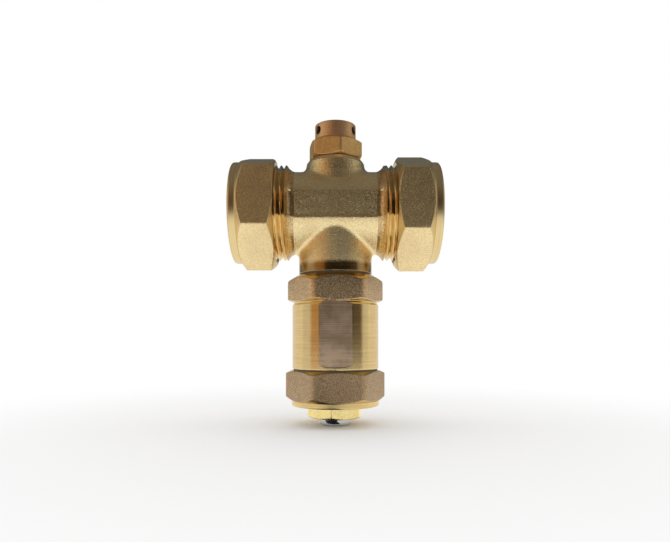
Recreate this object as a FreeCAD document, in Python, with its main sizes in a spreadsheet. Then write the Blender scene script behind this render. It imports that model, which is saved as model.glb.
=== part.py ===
import FreeCAD, Part
import Sketcher
import math
import os
import re

# Anti-freeze valve for a 28 mm pipe run, all lengths in millimetres.
# The model stands on the end of its drain tip, the run of pipe lies along X, and its front faces -Y.

# Driving dimensions
SIZES = {
    # pipe run
    "tube_d": 28.0,
    "tube_gap": 0.1,
    "thread_long": 12.7,
    "thread_wall": 2.4,
    "thread_pitch": 1.814,
    "thread_deep": 1.1,
    "thread_crest": 0.25,
    "thread_chamfer": 1.0,
    "barrel_land": 0.65,
    "thread_lead": 1.25,
    "thread_turns": 7.3,
    "shoulder_run": 1.6,
    "barrel_wall": 2.25,
    "stop_in": 1.0,
    "stop_step": 2.0,
    "mouth_deep": 1.4,
    "mouth_flare": 0.8,
    "flat_high": 5.2,
    "flat_low": 3.4,
    # branch under the run
    "neck_inset": 1.5,
    "neck_long": 7.15,
    "neck_fillet": 1.8,
    "rim_chamfer": 0.4,
    "neck_wall": 2.3,
    "branch_thread_deep": 8.4,
    "branch_step": 1.95,
    # boss above the run
    "boss_high": 4.2,
    "boss_wall": 2.5,
    "boss_taper": 1.2,
    "boss_bevel": 1.5,
    "boss_fillet": 2.2,
    "vent_thread_d": 13.0,
    # screw and press clearances
    "screw_gap": 0.05,
    "slide_gap": 0.05,
    "seat_gap": 0.02,
    "corner_ease": 0.05,
    # compression nuts and rings
    "nut_wall": 1.5,
    "nut_hex_long": 12.3,
    "nut_face_ease": 0.2,
    "nut_face_bevel": 1.65,
    "nut_back_bevel": 2.3,
    "nut_collar_wall": 1.0,
    "nut_collar_long": 2.6,
    "nut_collar_round": 0.9,
    "nut_mouth_bevel": 0.8,
    "nut_cone_end": 1.6,
    "nut_hole_gap": 0.25,
    "ring_wide": 5.2,
    "ring_wall": 1.05,
    "ring_edge": 0.3,
    "ring_cone": 1.3,
    "ring_grip": 0.05,
    "ring_gap": 0.08,
    # cartridge housing
    "gasket_thick": 0.5,
    "gasket_inset": 0.35,
    "housing_flat_in": 0.1,
    "housing_ease": 0.3,
    "housing_hex_long": 9.6,
    "housing_face_out": 0.35,
    "housing_face_bevel": 2.4,
    "housing_foot_bevel": 0.3,
    "housing_wall": 2.8,
    "housing_groove": 0.45,
    "housing_groove_long": 0.5,
    "housing_long": 32.75,
    "housing_spigot_long": 8.2,
    "cap_thread_step": 0.7,
    "cap_thread_deep": 8.2,
    "label_wide": 11.2,
    "label_deep": 1.05,
    "label_end": 1.0,
    "label_sag": 1.2,
    # drain cap
    "cap_flat_out": 0.4,
    "cap_hex_long": 10.5,
    "cap_top_bevel": 1.2,
    "cap_low_bevel": 1.6,
    "cap_spigot_long": 7.1,
    "cap_spigot_wall": 2.0,
    "cap_floor": 5.5,
    "cap_collar_in": 0.15,
    "cap_collar_long": 1.8,
    "cap_collar_bevel": 0.45,
    "seat_thread_d": 15.0,
    # drain seat and tip
    "seat_flange": 1.5,
    "seat_hex_long": 4.3,
    "seat_bevel": 0.8,
    "seat_spigot_long": 7.2,
    "seat_nozzle_wall": 1.0,
    "seat_nozzle_long": 3.7,
    "drain_bore_d": 8.8,
    "tip_step": 1.2,
    "tip_wall": 0.9,
    "tip_out": 2.5,
    "tip_in": 1.8,
    "tip_round": 0.7,
    "o_ring_thick": 1.5,
    "o_ring_up": 4.6,
    # shutter
    "shutter_lift": 2.0,
    "shutter_seal_out": 0.9,
    "shutter_seal_thick": 1.5,
    "shutter_flange_out": 0.55,
    "shutter_flange_thick": 1.5,
    "shutter_stem_d": 5.0,
    "shutter_stem_long": 3.0,
    "piston_d": 3.0,
    "piston_socket": 1.6,
    "piston_spare": 0.8,
    "piston_in": 6.0,
    # thermostat
    "guide_nose_d": 8.0,
    "guide_nose_long": 3.6,
    "guide_flange_gap": 0.9,
    "guide_flange_thick": 1.5,
    "guide_port_d": 2.2,
    "guide_port_gap": 0.05,
    "guide_crimp_d": 14.0,
    "guide_crimp_long": 2.2,
    "bulb_d": 15.6,
    "bulb_long": 9.4,
    "bulb_wall": 0.7,
    "bulb_round": 2.5,
    "capsule_lift": 1.5,
    "bulb_room": 0.83,
    "cage_wall": 2.0,
    "cage_window_wide": 6.0,
    "cage_rim": 0.9,
    # springs
    "lift_wire": 0.9,
    "lift_gap": 0.25,
    "lift_pitch": 1.75,
    "load_wire": 1.2,
    "load_inside": 2.0,
    "load_outside": 1.3,
    "load_pitch": 2.9,
    "vent_wire": 0.5,
    "vent_coil_d": 4.0,
    "vent_pitch": 1.0,
    # vacuum breaker
    "vent_gasket_thick": 0.35,
    "vent_rim": 1.35,
    "vent_hex_long": 6.15,
    "vent_top_in": 0.3,
    "vent_top_bevel": 0.9,
    "vent_low_in": 0.1,
    "vent_low_bevel": 0.8,
    "vent_spring_room": 2.88,
    "vent_wall": 1.9,
    "vent_seat_up": 1.5,
    "vent_seat_thick": 1.0,
    "vent_hole_in": 0.3,
    "vent_pocket_in": 0.5,
    "bonnet_step": 1.15,
    "bonnet_high": 5.85,
    "bonnet_roof": 1.2,
    "bonnet_wall": 2.0,
    "bonnet_spigot_long": 2.6,
    "bonnet_edge": 0.35,
    "bonnet_groove": 0.35,
    "bonnet_hole_d": 2.9,
    "bonnet_hole_up": 3.3,
    "disc_gap": 0.4,
    "disc_thick": 1.4,
    "disc_stem_d": 1.8,
    "disc_stem_in": 0.82,
    "disc_seal_in": 0.3,
    "disc_seal_wide": 1.1,
    "disc_seal_thick": 0.7,
    "disc_drop": 1.5,
    "retainer_thick": 1.0,
    "retainer_up": 0.6,
    "retainer_slot_d": 1.8,
    "retainer_slot_rim": 0.3,
}

# Heights and radii that follow from the driving dimensions
DERIVED = {
    "socket_r": "tube_d / 2 + tube_gap",
    "thread_r": "socket_r + thread_wall",
    "waterway_r": "tube_d / 2 - stop_step",
    "barrel_r": "waterway_r + barrel_wall",
    "neck_drop": "barrel_r + neck_long",
    "boss_top": "barrel_r + boss_high",
    "flat_y": "sqrt(barrel_r * barrel_r - flat_high * flat_high)",
    "neck_r": "barrel_r - neck_inset",
    "branch_thread_r": "neck_r - neck_wall",
    "branch_bore_r": "branch_thread_r - branch_step",
    "boss_top_r": "vent_thread_d / 2 + boss_wall",
    "boss_base_r": "boss_top_r + boss_taper",
    # positions along the run
    "barrel_end": "neck_r + neck_fillet + barrel_land",
    "stop_x": "barrel_end + stop_in",
    "thread_start": "barrel_end + shoulder_run",
    "thread_first_groove": "thread_start + thread_lead",
    "run_end": "thread_start + thread_long",
    # radii of the cartridge, from the bulb outwards
    "load_coil_r": "bulb_d / 2 + load_inside + load_wire / 2",
    "housing_bore_r": "load_coil_r + load_wire / 2 + load_outside",
    "housing_r": "housing_bore_r + housing_wall",
    "housing_across": "2 * (housing_r - housing_flat_in)",
    "housing_face_r": "neck_r + housing_face_out",
    "guide_flange_r": "housing_bore_r - guide_flange_gap",
    "guide_port_r": "bulb_d / 2 + guide_port_gap + guide_port_d / 2",
    "cap_thread_r": "housing_bore_r + cap_thread_step",
    "cap_bore_r": "cap_thread_r - cap_spigot_wall",
    "cap_across": "2 * (housing_r + cap_flat_out)",
    "cap_collar_r": "cap_across / 2 - cap_collar_in",
    # radii of the drain end
    "seat_across": "seat_thread_d + 2 * seat_flange",
    "seat_nozzle_r": "drain_bore_d / 2 + seat_nozzle_wall",
    "shutter_seal_r": "seat_nozzle_r + shutter_seal_out",
    "lift_coil_r": "seat_thread_d / 2 + lift_gap + lift_wire / 2",
    "shutter_flange_r": "lift_coil_r + lift_wire / 2 + shutter_flange_out",
    "tip_r": "drain_bore_d / 2 + tip_step",
    # radii of the vacuum breaker
    "vent_bore_r": "vent_thread_d / 2 - vent_wall",
    "vent_pocket_r": "vent_thread_d / 2 - vent_pocket_in",
    "bonnet_r": "vent_pocket_r + bonnet_step",
    "vent_across": "2 * (bonnet_r + vent_rim)",
    "disc_r": "vent_bore_r - disc_gap",
    "disc_seal_r": "disc_r - disc_seal_in",
    "disc_seal_hole_r": "disc_seal_r - disc_seal_wide",
    "vent_hole_r": "disc_seal_hole_r - vent_hole_in",
    "retainer_slot_r": "vent_bore_r - retainer_slot_rim - retainer_slot_d / 2",
    # heights of each piece's own datum above the drain tip's end
    "seat_z": "tip_out + seat_hex_long",
    "cap_z": "seat_z + cap_collar_long + cap_hex_long",
    "housing_z": "cap_z + gasket_thick + housing_long",
    "run_z": "housing_z + gasket_thick + neck_drop",
    "vent_z": "run_z + boss_top + vent_gasket_thick",
    "floor_z": "cap_z - cap_floor",
    "lip_z": "seat_z + seat_spigot_long + seat_nozzle_long",
    "shutter_z": "lip_z + seat_gap",
    "flange_low_z": "shutter_z + shutter_seal_thick",
    "stem_top_z": "flange_low_z + shutter_flange_thick + shutter_stem_long",
    "piston_free": "shutter_lift + piston_spare",
    "nose_z": "stem_top_z + piston_free",
    "capsule_z": "nose_z + guide_nose_long",
    "cage_z": "cap_z + cap_spigot_long",
    "roof_z": "capsule_z + guide_flange_thick + bulb_long + capsule_lift + bulb_room",
    # depths below the vacuum breaker's datum
    "disc_low": "vent_seat_up - seat_gap - disc_seal_thick - disc_thick",
    "disc_stem_long": "vent_spring_room + disc_drop + disc_stem_in",
    "vent_spigot_long": "vent_spring_room + disc_drop - disc_low + retainer_thick + retainer_up",
    # compression nuts and rings
    "nut_across": "2 * (thread_r + nut_wall)",
    "nut_face_r": "nut_across / 2 - nut_face_ease",
    "nut_collar_r": "thread_r + nut_collar_wall",
    "nut_long": "nut_hex_long + nut_collar_long",
    "nut_bore_r": "thread_r + screw_gap",
    "ring_x": "run_end - mouth_deep + (ring_edge - tube_gap + ring_gap) * mouth_deep / mouth_flare",
    "nut_x": "ring_x + ring_wide + nut_cone_end - nut_long + ring_edge + ring_gap - nut_hole_gap",
}

# How far each hexagon stands turned after tightening, in degrees about its own axis
TURNS = {
    "left_nut": 9.7,
    "right_nut": -5.7,
    "cartridge_housing": 3.0,
    "drain_cap": 3.5,
    "drain_seat": 21.7,
    "vent_body": -19.0,
    "vent_bonnet": 3.0,
}

doc = FreeCAD.newDocument("anti_freeze_valve")
sheet = doc.addObject("Spreadsheet::Sheet", "Sizes")
finished = []


def fill_sheet():
    for row, (name, value) in enumerate(SIZES.items(), start=1):
        sheet.set(f"A{row}", name)
        sheet.set(f"B{row}", str(value))
        sheet.setAlias(f"B{row}", name)
    doc.recompute()


def formula(text):
    """The text as an expression on the sheet's cells, with every derived name written out."""

    def word(match):
        name = match.group()
        if name in DERIVED:
            return "(" + formula(DERIVED[name]) + ")"
        return "Sizes." + name if name in SIZES else name

    return re.sub(r"[a-z_]+", word, text)


def number(text):
    """The present value of a formula."""
    return float(sheet.evalExpression(formula(text)))


def vector(x=0.0, y=0.0, z=0.0):
    return FreeCAD.Vector(x, y, z)


def new_body(label):
    body = doc.addObject("PartDesign::Body", label)
    body.Label = label
    return body


def origin_feature(body, role):
    return next(f for f in body.Origin.OriginFeatures if f.Role == role)


def new_sketch(body, name, role, lift=None):
    """An empty sketch on one of the body's origin planes, moved along its normal by lift."""
    sketch = body.newObject("Sketcher::SketchObject", name)
    sketch.AttachmentSupport = (origin_feature(body, role), [""])
    sketch.MapMode = "FlatFace"
    if lift is not None:
        sketch.setExpression("AttachmentOffset.Base.z", formula(lift))
    return sketch


def pin_point(sketch, edge, end, x, y):
    """Ties one end of an edge to the sheet, by its distances from the sketch's origin."""
    for kind, axis, text in (("DistanceX", -2, x), ("DistanceY", -1, y)):
        if text == "0":
            sketch.addConstraint(Sketcher.Constraint("PointOnObject", edge, end, axis))
            continue
        index = sketch.addConstraint(Sketcher.Constraint(kind, -1, 1, edge, end, number(text)))
        sketch.setExpression(f"Constraints[{index}]", formula(text))


def add_polygon(sketch, points):
    """A closed polygon through points, each a pair of formulas."""
    spots = [vector(number(x), number(y)) for x, y in points]
    first = sketch.GeometryCount
    count = len(spots)
    for i, spot in enumerate(spots):
        sketch.addGeometry(Part.LineSegment(spot, spots[(i + 1) % count]), False)
    for i, (x, y) in enumerate(points):
        after = first + (i + 1) % count
        sketch.addConstraint(Sketcher.Constraint("Coincident", first + i, 2, after, 1))
        pin_point(sketch, first + i, 1, x, y)


def add_circle(sketch, diameter, x="0", y="0"):
    centre = vector(number(x), number(y))
    index = sketch.addGeometry(Part.Circle(centre, vector(z=1), number(diameter) / 2), False)
    size = sketch.addConstraint(Sketcher.Constraint("Diameter", index, number(diameter)))
    sketch.setExpression(f"Constraints[{size}]", formula(diameter))
    if x == "0" and y == "0":
        sketch.addConstraint(Sketcher.Constraint("Coincident", index, 3, -1, 1))
    else:
        pin_point(sketch, index, 3, x, y)


def settled(feature):
    """Recomputes and returns the feature, after checking that it worked."""
    doc.recompute()
    bad = {"Invalid", "Error"} & set(feature.State)
    if bad or feature.Shape.isNull() or not feature.Shape.isValid():
        raise RuntimeError(f"{feature.Label} failed: {feature.State}")
    return feature


def turned(body, name, points, axis="V_Axis", cut=False):
    """Turns a profile in the XZ plane about the vertical or the horizontal axis."""
    before = body.Shape.Volume if cut else 0.0
    sketch = new_sketch(body, name + "_profile", "XZ_Plane")
    add_polygon(sketch, points)
    doc.recompute()
    feature = body.newObject("PartDesign::Groove" if cut else "PartDesign::Revolution", name)
    feature.Profile = sketch
    feature.ReferenceAxis = (sketch, [axis])
    feature.Angle = 360
    settled(feature)
    if cut and not feature.Shape.Volume < before:
        raise RuntimeError(f"{body.Label} {name} cut nothing")
    return feature


def pocket(body, name, sketch, deep, reverse=False, both_ways=False):
    before = body.Shape.Volume
    feature = body.newObject("PartDesign::Pocket", name)
    feature.Profile = sketch
    feature.Reversed = reverse
    feature.Midplane = both_ways
    feature.setExpression("Length", formula(deep))
    settled(feature)
    if not feature.Shape.Volume < before:
        raise RuntimeError(f"{body.Label} {name} cut nothing")
    return feature


def hexagon_points(across):
    """Corners on the X axis and flats facing Y."""
    corner = f"{across} / sqrt(3)"
    half = f"{across} / (2 * sqrt(3))"
    side = f"{across} / 2"
    return [
        (corner, "0"),
        (half, side),
        (f"-({half})", side),
        (f"-({corner})", "0"),
        (f"-({half})", f"-({side})"),
        (half, f"-({side})"),
    ]


def mill_hexagon(body, name, across, top, deep):
    """Mills six flats on the turned blank, from the plane at height top down by deep."""
    sketch = new_sketch(body, name + "_sketch", "XY_Plane", top)
    add_circle(sketch, f"{across} * 2")
    add_polygon(sketch, hexagon_points(across))
    doc.recompute()
    return pocket(body, name, sketch, deep)


def round_edges(body, name, radius, wanted):
    """Fillets the tip's edges for which wanted(edge) is true."""
    tip = body.Tip
    names = [f"Edge{i}" for i, edge in enumerate(tip.Shape.Edges, start=1) if wanted(edge)]
    if not names:
        raise RuntimeError(f"{body.Label} {name} found no edge")
    feature = body.newObject("PartDesign::Fillet", name)
    feature.Base = (tip, names)
    feature.setExpression("Radius", formula(radius))
    return settled(feature)


def blank_radius(across, ease="corner_ease"):
    """The blank is a little smaller than the hexagon's corners, which leaves them eased."""
    return f"({across} / sqrt(3) - {ease})"


def place(piece, x="0", z="0", turn=None):
    """Puts a finished piece in the valve and keeps it for export."""
    if turn is not None:
        piece.Placement = FreeCAD.Placement(vector(), turn)
    for axis, text in (("x", x), ("z", z)):
        if text != "0":
            piece.setExpression(f"Placement.Base.{axis}", formula(text))
    doc.recompute()
    finished.append(piece)


def turn_z(degrees):
    return FreeCAD.Rotation(vector(z=1), degrees)


def ring(label, inner, outer, high, z):
    """A plain washer on the valve's upright axis."""
    body = new_body(label)
    turned(body, "washer", [(inner, "0"), (outer, "0"), (outer, high), (inner, high)])
    place(body, z=z)


# Tee body


def tee_body():
    body = new_body("tee_body")
    end, start = "run_end", "thread_start"
    half = [
        (end, "0"),
        (end, "thread_r - thread_chamfer"),
        ("run_end - thread_chamfer", "thread_r"),
        (start, "thread_r"),
        ("barrel_end", "barrel_r"),
    ]
    mirrored = [(f"-({x})", r) for x, r in reversed(half)]
    turned(body, "barrel", half + mirrored, axis="H_Axis")
    turned(body, "neck", [
        ("0", "0"),
        ("neck_r", "0"),
        ("neck_r", "-(neck_drop - rim_chamfer)"),
        ("neck_r - rim_chamfer", "-neck_drop"),
        ("0", "-neck_drop"),
    ])
    turned(body, "boss", [
        ("0", "0"),
        ("boss_base_r", "0"),
        ("boss_base_r", "boss_top - boss_bevel"),
        ("boss_top_r", "boss_top"),
        ("0", "boss_top"),
    ])
    round_edges(body, "neck_blend", "neck_fillet", meets_barrel(number("neck_r"), -1))
    round_edges(body, "boss_blend", "boss_fillet", meets_barrel(number("boss_base_r"), 1))
    for side, sign in (("front", ""), ("back", "-")):
        sketch = new_sketch(body, side + "_flat_sketch", "XZ_Plane", f"{sign}flat_y")
        reach = "thread_start - shoulder_run / 2"
        add_polygon(sketch, [
            (f"-({reach})", "-flat_low"),
            (reach, "-flat_low"),
            (reach, "barrel_r"),
            (f"-({reach})", "barrel_r"),
        ])
        doc.recompute()
        pocket(body, side + "_flat", sketch, "barrel_r", reverse=(side == "front"))
    bore_run(body)
    cut_threads(body)
    place(body, z="run_z")


def meets_barrel(radius, side):
    """A test for the edge where an upright cylinder meets the barrel, above or below the run."""

    def wanted(edge):
        if edge.Curve.TypeId in ("Part::GeomLine", "Part::GeomCircle"):
            return False
        near = all(abs(math.hypot(v.Point.x, v.Point.y) - radius) < 0.01 for v in edge.Vertexes)
        middle = edge.valueAt((edge.FirstParameter + edge.LastParameter) / 2)
        return near and abs(math.hypot(middle.x, middle.y) - radius) < 0.01 and middle.z * side > 0

    return wanted


def bore_run(body):
    half = [
        ("run_end", "0"),
        ("run_end", "socket_r + mouth_flare"),
        ("run_end - mouth_deep", "socket_r"),
        ("stop_x", "socket_r"),
        ("stop_x", "waterway_r"),
    ]
    mirrored = [(f"-({x})", r) for x, r in reversed(half)]
    turned(body, "run_bore", half + mirrored, axis="H_Axis", cut=True)
    turned(body, "branch_bore", [
        ("0", "0"),
        ("branch_bore_r", "0"),
        ("branch_bore_r", "-(neck_drop - branch_thread_deep)"),
        ("branch_thread_r", "-(neck_drop - branch_thread_deep)"),
        ("branch_thread_r", "-neck_drop"),
        ("0", "-neck_drop"),
    ], cut=True)
    turned(body, "vent_bore", [
        ("0", "0"),
        ("vent_thread_d / 2", "0"),
        ("vent_thread_d / 2", "boss_top"),
        ("0", "boss_top"),
    ], cut=True)


def cut_threads(body):
    """Right-hand threads on both ends, each cut from its end towards the barrel."""
    root = "thread_r - thread_deep"
    past = "thread_r + thread_crest"
    root_half = "thread_crest / 2"
    mouth_half = "thread_pitch / 2"
    first = "(thread_first_groove + floor(thread_turns) * thread_pitch)"
    for side, sign in (("right", ""), ("left", "-")):
        before = body.Shape.Volume
        sketch = new_sketch(body, side + "_groove", "XZ_Plane")
        middle = f"{sign}{first}"
        add_polygon(sketch, [
            (f"{middle} - {root_half}", root),
            (f"{middle} + {root_half}", root),
            (f"{middle} + {mouth_half}", past),
            (f"{middle} - {mouth_half}", past),
        ])
        doc.recompute()
        thread = body.newObject("PartDesign::SubtractiveHelix", side + "_thread")
        thread.Profile = sketch
        thread.ReferenceAxis = (sketch, ["H_Axis"])
        thread.Mode = 0
        thread.Reversed = side == "right"
        thread.setExpression("Pitch", formula("thread_pitch"))
        thread.setExpression("Height", formula("thread_turns * thread_pitch"))
        settled(thread)
        if not thread.Shape.Volume < before:
            raise RuntimeError("a thread cut nothing")


# Compression ends


def compression_nut(label, side):
    """Inner face at the datum, its own Z pointing out along the pipe."""
    body = new_body(label)
    corner = blank_radius("nut_across")
    hole = "tube_d / 2 + nut_hole_gap"
    cone_end = "nut_long - nut_cone_end"
    turned(body, "blank", [
        ("nut_bore_r + nut_mouth_bevel", "0"),
        ("nut_face_r", "0"),
        (corner, "nut_face_bevel"),
        (corner, "nut_hex_long - nut_back_bevel"),
        ("nut_collar_r", "nut_hex_long"),
        ("nut_collar_r", "nut_long - nut_collar_round"),
        ("nut_collar_r - nut_collar_round", "nut_long"),
        (hole, "nut_long"),
        (hole, cone_end),
        ("nut_bore_r", f"{cone_end} - (nut_bore_r - ({hole}))"),
        ("nut_bore_r", "nut_mouth_bevel"),
    ])
    mill_hexagon(body, "hexagon", "nut_across", "nut_hex_long", "nut_hex_long")
    outwards = FreeCAD.Rotation(vector(y=1), 90 * side)
    place(body, x="nut_x" if side > 0 else "-(nut_x)", z="run_z",
          turn=outwards.multiply(turn_z(TURNS[label])))


def compression_ring(label, side):
    body = new_body(label)
    inner = "tube_d / 2 + ring_grip"
    crown = "tube_d / 2 + ring_grip + ring_wall"
    edge = "tube_d / 2 + ring_edge"
    turned(body, "ring", [
        (inner, "0"),
        (edge, "0"),
        (crown, "ring_cone"),
        (crown, "ring_wide - ring_cone"),
        (edge, "ring_wide"),
        (inner, "ring_wide"),
    ])
    place(body, x="ring_x" if side > 0 else "-(ring_x)", z="run_z",
          turn=FreeCAD.Rotation(vector(y=1), 90 * side))


# Cartridge housing and drain end


def cartridge_housing():
    """Datum on the hexagon's top face, with the spigot above and the body below."""
    body = new_body("cartridge_housing")
    spigot = "branch_thread_r - screw_gap"
    corner = blank_radius("housing_across", "housing_ease")
    foot = "-housing_hex_long"
    roof = "roof_z - (housing_z)"
    groove_end = "-(housing_hex_long + housing_groove_long)"
    turned(body, "blank", [
        ("branch_bore_r", "housing_spigot_long"),
        (f"{spigot} - rim_chamfer", "housing_spigot_long"),
        (spigot, "housing_spigot_long - rim_chamfer"),
        (spigot, "0"),
        ("housing_face_r", "0"),
        (corner, "-housing_face_bevel"),
        (corner, "-(housing_hex_long - housing_foot_bevel)"),
        ("housing_across / 2", foot),
        ("housing_r - housing_groove", foot),
        ("housing_r - housing_groove", groove_end),
        ("housing_r", "-(housing_hex_long + housing_groove_long + housing_groove)"),
        ("housing_r", "-(housing_long - rim_chamfer)"),
        ("housing_r - rim_chamfer", "-housing_long"),
        ("cap_thread_r", "-housing_long"),
        ("cap_thread_r", "-(housing_long - cap_thread_deep)"),
        ("housing_bore_r", "-(housing_long - cap_thread_deep)"),
        ("housing_bore_r", roof),
        ("branch_bore_r", roof),
    ])
    mill_hexagon(body, "hexagon", "housing_across", "0", "housing_hex_long")
    label_flat(body)
    place(body, z="housing_z", turn=turn_z(TURNS[body.Label]))


def label_flat(body):
    """The flat for the marking, as wide as its chord, with a curved lower end."""
    sketch = new_sketch(body, "label_sketch", "XZ_Plane", "housing_r - label_deep")
    half, side = number("label_wide / 2"), "label_wide / 2"
    top = "-(housing_hex_long + housing_groove_long)"
    low = "-(housing_long - label_end - label_sag)"
    bottom = number("-(housing_long - label_end)")
    top_z, low_z = number(top), number(low)
    left_low, right_low = vector(-half, low_z), vector(half, low_z)
    sketch.addGeometry(Part.LineSegment(vector(-half, top_z), left_low), False)
    sketch.addGeometry(Part.Arc(left_low, vector(0, bottom), right_low), False)
    sketch.addGeometry(Part.LineSegment(right_low, vector(half, top_z)), False)
    sketch.addGeometry(Part.LineSegment(vector(half, top_z), vector(-half, top_z)), False)
    arc = sketch.Geometry[1]
    ends = (1, 2) if arc.StartPoint.x < 0 else (2, 1)
    sketch.addConstraint(Sketcher.Constraint("Coincident", 0, 2, 1, ends[0]))
    sketch.addConstraint(Sketcher.Constraint("Coincident", 1, ends[1], 2, 1))
    sketch.addConstraint(Sketcher.Constraint("Coincident", 2, 2, 3, 1))
    sketch.addConstraint(Sketcher.Constraint("Coincident", 3, 2, 0, 1))
    pin_point(sketch, 0, 1, f"-{side}", top)
    pin_point(sketch, 0, 2, f"-{side}", low)
    pin_point(sketch, 2, 1, side, low)
    pin_point(sketch, 2, 2, side, top)
    bend = "(label_wide * label_wide / (8 * label_sag) + label_sag / 2)"
    index = sketch.addConstraint(Sketcher.Constraint("Radius", 1, number(bend)))
    sketch.setExpression(f"Constraints[{index}]", formula(bend))
    doc.recompute()
    pocket(body, "label_flat", sketch, "housing_r", reverse=True)


def drain_cap():
    """Datum on the hexagon's top face."""
    body = new_body("drain_cap")
    spigot = "cap_thread_r - screw_gap"
    corner = blank_radius("cap_across")
    foot = "-(cap_hex_long + cap_collar_long)"
    turned(body, "blank", [
        ("cap_bore_r", "cap_spigot_long"),
        (f"{spigot} - rim_chamfer", "cap_spigot_long"),
        (spigot, "cap_spigot_long - rim_chamfer"),
        (spigot, "0"),
        ("cap_across / 2 - rim_chamfer / 4", "0"),
        (corner, "-cap_top_bevel"),
        (corner, "-(cap_hex_long - cap_low_bevel)"),
        ("cap_collar_r", "-cap_hex_long"),
        ("cap_collar_r", f"{foot} + cap_collar_bevel"),
        ("cap_collar_r - cap_collar_bevel", foot),
        ("seat_thread_d / 2", foot),
        ("seat_thread_d / 2", "-cap_floor"),
        ("cap_bore_r", "-cap_floor"),
    ])
    mill_hexagon(body, "hexagon", "cap_across", "0", "cap_hex_long")
    place(body, z="cap_z", turn=turn_z(TURNS[body.Label]))


def drain_seat():
    """Datum on the hexagon's top face: the nozzle's lip is the seat, and the tip enters from below."""
    body = new_body("drain_seat")
    spigot = "seat_thread_d / 2 - screw_gap"
    corner = blank_radius("seat_across")
    groove_low = "o_ring_up - o_ring_thick / 2 - slide_gap"
    groove_high = "o_ring_up + o_ring_thick / 2 + slide_gap"
    groove_r = "seat_thread_d / 2 - o_ring_thick - slide_gap"
    turned(body, "blank", [
        ("tip_r", "-seat_hex_long"),
        ("seat_across / 2 - rim_chamfer", "-seat_hex_long"),
        (corner, "-(seat_hex_long - seat_bevel)"),
        (corner, "0"),
        (spigot, "0"),
        (spigot, groove_low),
        (groove_r, groove_low),
        (groove_r, groove_high),
        (spigot, groove_high),
        (spigot, "seat_spigot_long"),
        ("seat_nozzle_r", "seat_spigot_long"),
        ("seat_nozzle_r", "seat_spigot_long + seat_nozzle_long"),
        ("drain_bore_d / 2", "seat_spigot_long + seat_nozzle_long"),
        ("drain_bore_d / 2", "tip_in"),
        ("tip_r", "tip_in"),
    ])
    mill_hexagon(body, "hexagon", "seat_across", "0", "seat_hex_long")
    place(body, z="seat_z", turn=turn_z(TURNS[body.Label]))


def drain_tip():
    body = new_body("drain_tip")
    inner = "tip_r - tip_wall"
    high = "tip_out + seat_hex_long + tip_in"
    turned(body, "tube", [
        (inner, "0"),
        ("tip_r - tip_round", "0"),
        ("tip_r", "tip_round"),
        ("tip_r", high),
        (inner, high),
    ])
    place(body)


def o_ring(label, radius, thick, z):
    """A rubber ring: radius to the middle of its section."""
    body = new_body(label)
    sketch = new_sketch(body, "section", "XZ_Plane")
    add_circle(sketch, thick, radius, "0")
    doc.recompute()
    feature = body.newObject("PartDesign::Revolution", "ring")
    feature.Profile = sketch
    feature.ReferenceAxis = (sketch, ["V_Axis"])
    feature.Angle = 360
    settled(feature)
    place(body, z=z)


# Thermostat and shutter


def shutter():
    body = new_body("shutter")
    socket = "piston_d / 2 + slide_gap"
    high = "shutter_flange_thick + shutter_stem_long"
    turned(body, "blank", [
        ("0", "0"),
        ("shutter_flange_r", "0"),
        ("shutter_flange_r", "shutter_flange_thick"),
        ("shutter_stem_d / 2", "shutter_flange_thick"),
        ("shutter_stem_d / 2", high),
        (socket, high),
        (socket, f"{high} - piston_socket"),
        ("0", f"{high} - piston_socket"),
    ])
    place(body, z="flange_low_z")


def shutter_seal():
    body = new_body("shutter_seal")
    turned(body, "pad", [
        ("0", "0"),
        ("shutter_seal_r", "0"),
        ("shutter_seal_r", "shutter_seal_thick"),
        ("0", "shutter_seal_thick"),
    ])
    place(body, z="shutter_z")


def thermostat_piston():
    body = new_body("thermostat_piston")
    high = "piston_socket + piston_free + piston_in"
    turned(body, "rod", [("0", "0"), ("piston_d / 2", "0"), ("piston_d / 2", high), ("0", high)])
    place(body, z="stem_top_z - piston_socket")


def thermostat_guide():
    """Datum under the flange: the nose guides the piston below, and the bulb is crimped on above."""
    body = new_body("thermostat_guide")
    bore = "piston_d / 2 + slide_gap"
    turned(body, "blank", [
        (bore, "-guide_nose_long"),
        ("guide_nose_d / 2", "-guide_nose_long"),
        ("guide_nose_d / 2", "0"),
        ("guide_flange_r", "0"),
        ("guide_flange_r", "guide_flange_thick"),
        ("guide_crimp_d / 2", "guide_flange_thick"),
        ("guide_crimp_d / 2", "guide_flange_thick + guide_crimp_long"),
        (bore, "guide_flange_thick + guide_crimp_long"),
    ])
    drill_circle(body, "water_ports", 6, "guide_port_d", "guide_port_r", "guide_flange_thick")
    place(body, z="capsule_z")


def drill_circle(body, name, count, diameter, radius, top):
    """A ring of holes down through the body from the plane at height top."""
    sketch = new_sketch(body, name + "_sketch", "XY_Plane", top)
    add_circle(sketch, diameter, radius, "0")
    doc.recompute()
    first = pocket(body, name + "_first", sketch, top)
    pattern = body.newObject("PartDesign::PolarPattern", name)
    pattern.Originals = [first]
    pattern.Axis = (sketch, ["N_Axis"])
    pattern.Angle = 360
    pattern.Occurrences = count
    body.Tip = pattern
    settled(pattern)


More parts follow.
